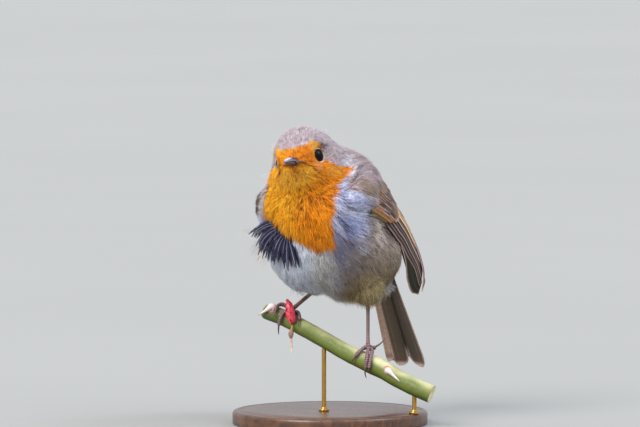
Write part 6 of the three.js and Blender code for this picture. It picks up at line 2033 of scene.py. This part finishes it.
def wing_feathers(side):
    bag = Bag()
    jobs = []
    for k in range(10):
        jobs.append(dict(a0=2.8 + 0.03 * k, a1=FLIGHT_TIP[k], ea=FLIGHT_A, eb=FLIGHT_B[k], w=FLIGHT_W[k], h0=-1.5 + 0.17 * k, h1=-0.75 + 0.13 * k, paint=FLIGHT_PAINT[k], rows=34, thick=0.2, tip=0.84 if k else 0.885))
    band = painter((128, 104, 100), (112, 88, 86), (196, 164, 158), (206, 176, 168), 0.10, 0.04, shaft=(92, 70, 66))
    jobs.append(dict(a0=5.6, a1=9.12, ea=[5.4, 6.5, 7.5, 8.5, 9.2], eb=[0.80, 0.83, 0.86, 0.86, 0.78], w=4.6, h0=0.15, h1=0.75, paint=band, rows=34, thick=0.2, tip=0.86))
    # primary coverts and alula at the lower edge
    ruf = painter((146, 96, 62), (120, 78, 48), (190, 140, 100), (96, 66, 46), 0.05, 0.05, shaft=(84, 52, 34))
    olive = painter((96, 80, 36), (70, 58, 30), (120, 100, 54), (60, 48, 30), 0.05, 0.05)
    for i, (b0, b1, a0, a1, pt) in enumerate([(-0.01, 0.03, 1.9, 3.2, olive), (0.04, 0.10, 1.8, 3.55, ruf), (0.10, 0.17, 1.7, 3.72, ruf), (0.15, 0.22, 1.65, 3.8, painter((84, 62, 50), (50, 40, 35), (190, 152, 130), (170, 140, 120), 0.1, 0.05))]):
        jobs.append(dict(a0=a0, a1=a1, ea=[a0, a1], eb=[b0, b1], w=3.6, h0=-0.5 + 0.12 * i, h1=-0.25 + 0.12 * i, paint=pt, rows=16, thick=0.2, tip=0.72))
    # greater coverts: long, brown grey with a dark inner web, a fine buff edge and pale tips on the inner ones
    rs = np.random.default_rng(17 + side)
    for i in range(11):
        t = i / 10
        b0, b1 = 0.20 + 0.62 * t, 0.22 + 0.60 * t + rs.normal(0, 0.006)
        tone = rs.uniform(0.82, 1.08)
        main = tuple(np.array((128, 104, 94) if i > 3 else (112, 82, 66)) * tone)
        pt = painter(main, (58, 46, 41), (178, 146, 126) if i % 3 else (200, 162, 132), (226, 188, 138) if 4 <= i <= 8 else (184, 150, 126), 0.09, 0.06, shaft=(50, 40, 36))
        jobs.append(dict(a0=1.9 + 0.03 * i, a1=3.86 + 0.24 * math.sin(math.pi * t) + rs.normal(0, 0.03), ea=[1.9, 4.1], eb=[b0, b1], w=4.2, h0=-0.2 + 0.05 * i, h1=0.02 + 0.055 * i, paint=pt, rows=20, thick=0.18, tip=0.8, ragged=0.012))
    # median coverts, which the shoulder feathers half cover
    for i in range(15):
        t = i / 14
        b0 = 0.15 + 0.72 * t
        tone = rs.uniform(0.7, 1.1)
        pt = painter(tuple(np.array((136, 114, 106)) * tone), tuple(np.array((70, 56, 52)) * tone), tuple(np.array((176, 150, 140)) * tone), tuple(np.array((150, 126, 116)) * tone), 0.12, 0.03, shaft=(60, 48, 44))
        jobs.append(dict(a0=1.5, a1=3.1 + 0.16 * math.sin(math.pi * t) + rs.normal(0, 0.16), ea=[1, 3], eb=[b0, b0 - 0.03], w=3.0, h0=-1.2 + 0.03 * i, h1=0.45 + 0.03 * i, paint=pt, rows=16, thick=0.18, tip=0.30, point=0.55, ragged=0.03))
    for k, j in enumerate(jobs):
        place = wing_place(side, j["a0"], j["a1"], j["ea"], j["eb"], j["w"], j["h0"], j["h1"])
        mid = place(np.linspace(0, 1, 12), np.zeros(12), np.zeros(12))
        length = np.linalg.norm(np.diff(mid, axis=0), axis=1).sum()
        add_vane(bag, place, j["rows"], j["w"], j["thick"], j["paint"], atlas_cell(k, len(jobs) + 1), length, ragged=j.get("ragged", 0.0), seed=40 + k, tip_from=j["tip"], point=j.get("point", 1.0), serial=k)
    # the arm and hand inside the feathers
    a = np.linspace(1.1, 8.2, 26)
    t = np.linspace(0, 1, 12)
    rings = []
    for x in a:
        thick = np.interp(x, np.arange(10), W_THICK)
        edge = 0.3 + 0.7 * np.sqrt(np.maximum(0, 1 - (2 * t - 1) ** 2))
        bb = 0.1 + 0.78 * t
        topl = wing_point(np.full(12, x), bb, -1.55 * np.minimum(1, 0.5 + x / 4), side)
        lowl = wing_point(np.full(12, x), bb, -1.7 * np.minimum(1, 0.5 + x / 4) - np.maximum(thick * 0.75 * edge - 0.9, 0.15), side)
        rings.append(np.concatenate([topl, lowl[::-1]]))
    v, tt, q, row, ang = loft(np.array(rings))
    origin, size = atlas_cell(len(jobs), len(jobs) + 1)
    bag.add(v, tt, q, col=srgb(58, 48, 44), uv=origin + size * (0.04 + 0.92 * np.stack([ang, row], -1)), vane=v * 2.0)
    return bag


for side, name in ((1, "left"), (-1, "right")):
    wing_bag = wing_feathers(side)
    o = wing_bag.build("wing_feathers_" + name, MAT_WING)
    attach(o, "root")
    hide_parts("wing_" + name)

# ---------------------------------------------------------------- tail
# name, x of the shaft at the root and at the tip, reach at the tip, half width, height (to the back), colours
TAIL_PALE = painter((196, 164, 148), (176, 146, 130), (208, 180, 166), (204, 176, 162), 0.2, 0.05, under=(196, 160, 144))
TAIL_SETS = []


def tail_paint(under, edge, rim, main=(104, 88, 70)):
    under, edge, rim, main = (srgb(*c) for c in (under, edge, rim, main))

    def paint(s, v, w):
        up = blend(np.broadcast_to(main, s.shape + (3,)), main * 0.6, ramp(v, 0.3, 0.6))
        up = blend(up, edge, 0.6 * ramp(v, 0.12, 0.03))
        lo = blend(np.broadcast_to(under, s.shape + (3,)), under * 0.62, ramp(v, 0.55, 1.0))
        lo = blend(lo, srgb(120, 84, 68), 0.55 * ramp(np.abs(v - 0.15), 0.08, 0.0))
        lo = blend(lo, srgb(150, 128, 112), 0.5 * ramp(np.abs(v - VANE_R), 0.03, 0.0))
        lo = blend(lo, edge, ramp(v, 0.13, 0.06) * ramp(s, 0.2, 0.34))
        e = np.maximum(ramp(s, 0.955, 0.985), ramp(v, 0.93, 1.0) * ramp(s, 0.8, 0.9))
        inner = ramp(s, 0.90, 0.95) * (1 - e)
        lo = blend(lo, srgb(126, 84, 72), 0.6 * inner)
        return blend(up, rim, 0.8 * e), blend(lo, rim, 0.95 * e)

    return paint


def tail_feathers():
    bag = Bag()
    jobs = []
    pale, beige, brown = (226, 196, 180), (218, 194, 174), (96, 82, 66)
    # from the front to the back: the broad left-hand fan blade, the pale strip, the right-hand blade, then those above
    jobs.append((-1, -2.6, -4.5, 60.4, 8.6, -0.62, tail_paint((104, 90, 72), (206, 180, 160), (236, 212, 196))))
    jobs.append((-1, -4.6, -9.4, 58.2, 4.6, -0.42, tail_paint((214, 180, 162), pale, (228, 204, 190))))
    jobs.append((1, 3.4, 7.9, 60.2, 9.6, -0.30, tail_paint((96, 82, 66), (232, 206, 188), (238, 214, 198))))
    for i, (x0, x1) in enumerate([(3.2, 7.6), (2.7, 6.0), (2.1, 4.4), (1.4, 3.0), (0.8, 1.8)]):
        for side in (1, -1):
            if i == 0 and side == 1:
                continue
            reach = 58.0 - 0.55 * i + (0.6 if side > 0 else 0)
            jobs.append((side, side * x0, side * x1, reach, 6.6, -0.1 + 0.17 * (i + 1), tail_paint((96, 82, 66), (150, 128, 104), (170, 148, 124), main=(112, 94, 72))))
    count = len(jobs)
    for k, (side, x0, x1, reach, wide, hh, pt) in enumerate(jobs):
        def place(s, y, h, side=side, x0=x0, x1=x1, reach=reach, wide=wide, hh=hh):
            d = 4 + (reach - 4) * s
            x = x0 + (x1 - x0) * s - side * y * (0.72 + 0.28 * s)
            return tail_point(d, x, (h * 0.5 + hh) * (1 - 0.25 * s))
        add_vane(bag, place, 34, wide, 0.17, pt, atlas_cell(k, count), reach - 4, ragged=0.002, seed=90 + k, arch=0.1, tip_from=0.9, point=1.1, serial=20 + k)
    return bag


o = tail_feathers().build("tail_feathers", MAT_TAIL)
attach(o, "root")
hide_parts("tail")

# ---------------------------------------------------------------- camera, light and floor
scene = bpy.context.scene
scene.view_settings.view_transform = "Standard"
scene.view_settings.look = "None"
CAM = {"azimuth": 37.0, "elevation": 4.0, "across": 281.6, "lens": 400.0, "aim": (-4.4 * math.cos(math.radians(37)), -4.4 * math.sin(math.radians(37)), 92.83)}
cam_data = bpy.data.cameras.new("camera")
cam_data.lens, cam_data.sensor_width = CAM["lens"], 36.0
cam_data.clip_start, cam_data.clip_end = 0.05, 60.0
cam = bpy.data.objects.new("camera", cam_data)
scene.collection.objects.link(cam)
scene.camera = cam
from mathutils import Vector

ca, ce = math.radians(CAM["azimuth"]), math.radians(CAM["elevation"])
back = Vector((math.sin(ca) * math.cos(ce), -math.cos(ca) * math.cos(ce), math.sin(ce)))
far = CAM["across"] * CAM["lens"] / 36.0 / 1000
cam.location = Vector(CAM["aim"]) / 1000 + back * far
cam.rotation_mode = "QUATERNION"
cam.rotation_quaternion = (-back).to_track_quat("-Z", "Y")


def soft_sun(name, az, el, strength, spread, colour):
    a, e = math.radians(az), math.radians(el)
    d = Vector((math.sin(a) * math.cos(e), -math.cos(a) * math.cos(e), math.sin(e)))
    data = bpy.data.lights.new(name, "SUN")
    data.energy, data.angle, data.color = strength, math.radians(spread), colour
    o = bpy.data.objects.new(name, data)
    scene.collection.objects.link(o)
    o.location = Vector((0, 0, 0.09)) + d * 2
    o.rotation_mode = "QUATERNION"
    o.rotation_quaternion = (-d).to_track_quat("-Z", "Y")
    return o


soft_sun("key", -4, 38, 2.95, 32, (1.0, 0.975, 0.93))
soft_sun("top", 50, 76, 0.42, 40, (0.84, 0.92, 1.0))
soft_sun("side", 100, 46, 0.8, 50, (0.94, 0.97, 1.0))
soft_sun("eye_light", 121, 50, 0.80, 16, (0.72, 0.84, 1.0))
world = bpy.data.worlds.new("world")
scene.world = world
world.use_nodes = True
world.node_tree.nodes["Background"].inputs[0].default_value = (0.86, 0.9, 0.96, 1)
world.node_tree.nodes["Background"].inputs[1].default_value = 0.9

floor_m, nt, p = mat_new("floor")
n1 = noise_node(nt, 3, 3)
nt.links.new(mix_color(nt, (0.33, 0.327, 0.318), (0.355, 0.351, 0.342), n1.outputs[0]), p.inputs["Base Color"])
nt.links.new(ranged(nt, n1.outputs[0], 0.85, 0.95), p.inputs["Roughness"])
p.inputs["Specular IOR Level"].default_value = 0.1
me = bpy.data.meshes.new("floor")
k = 96
ring = [(9 * math.cos(2 * math.pi * i / k), 9 * math.sin(2 * math.pi * i / k), 0.0) for i in range(k)]
me.from_pydata(ring, [], [list(range(k))])
floor = bpy.data.objects.new("floor", me)
scene.collection.objects.link(floor)
me.materials.append(floor_m)
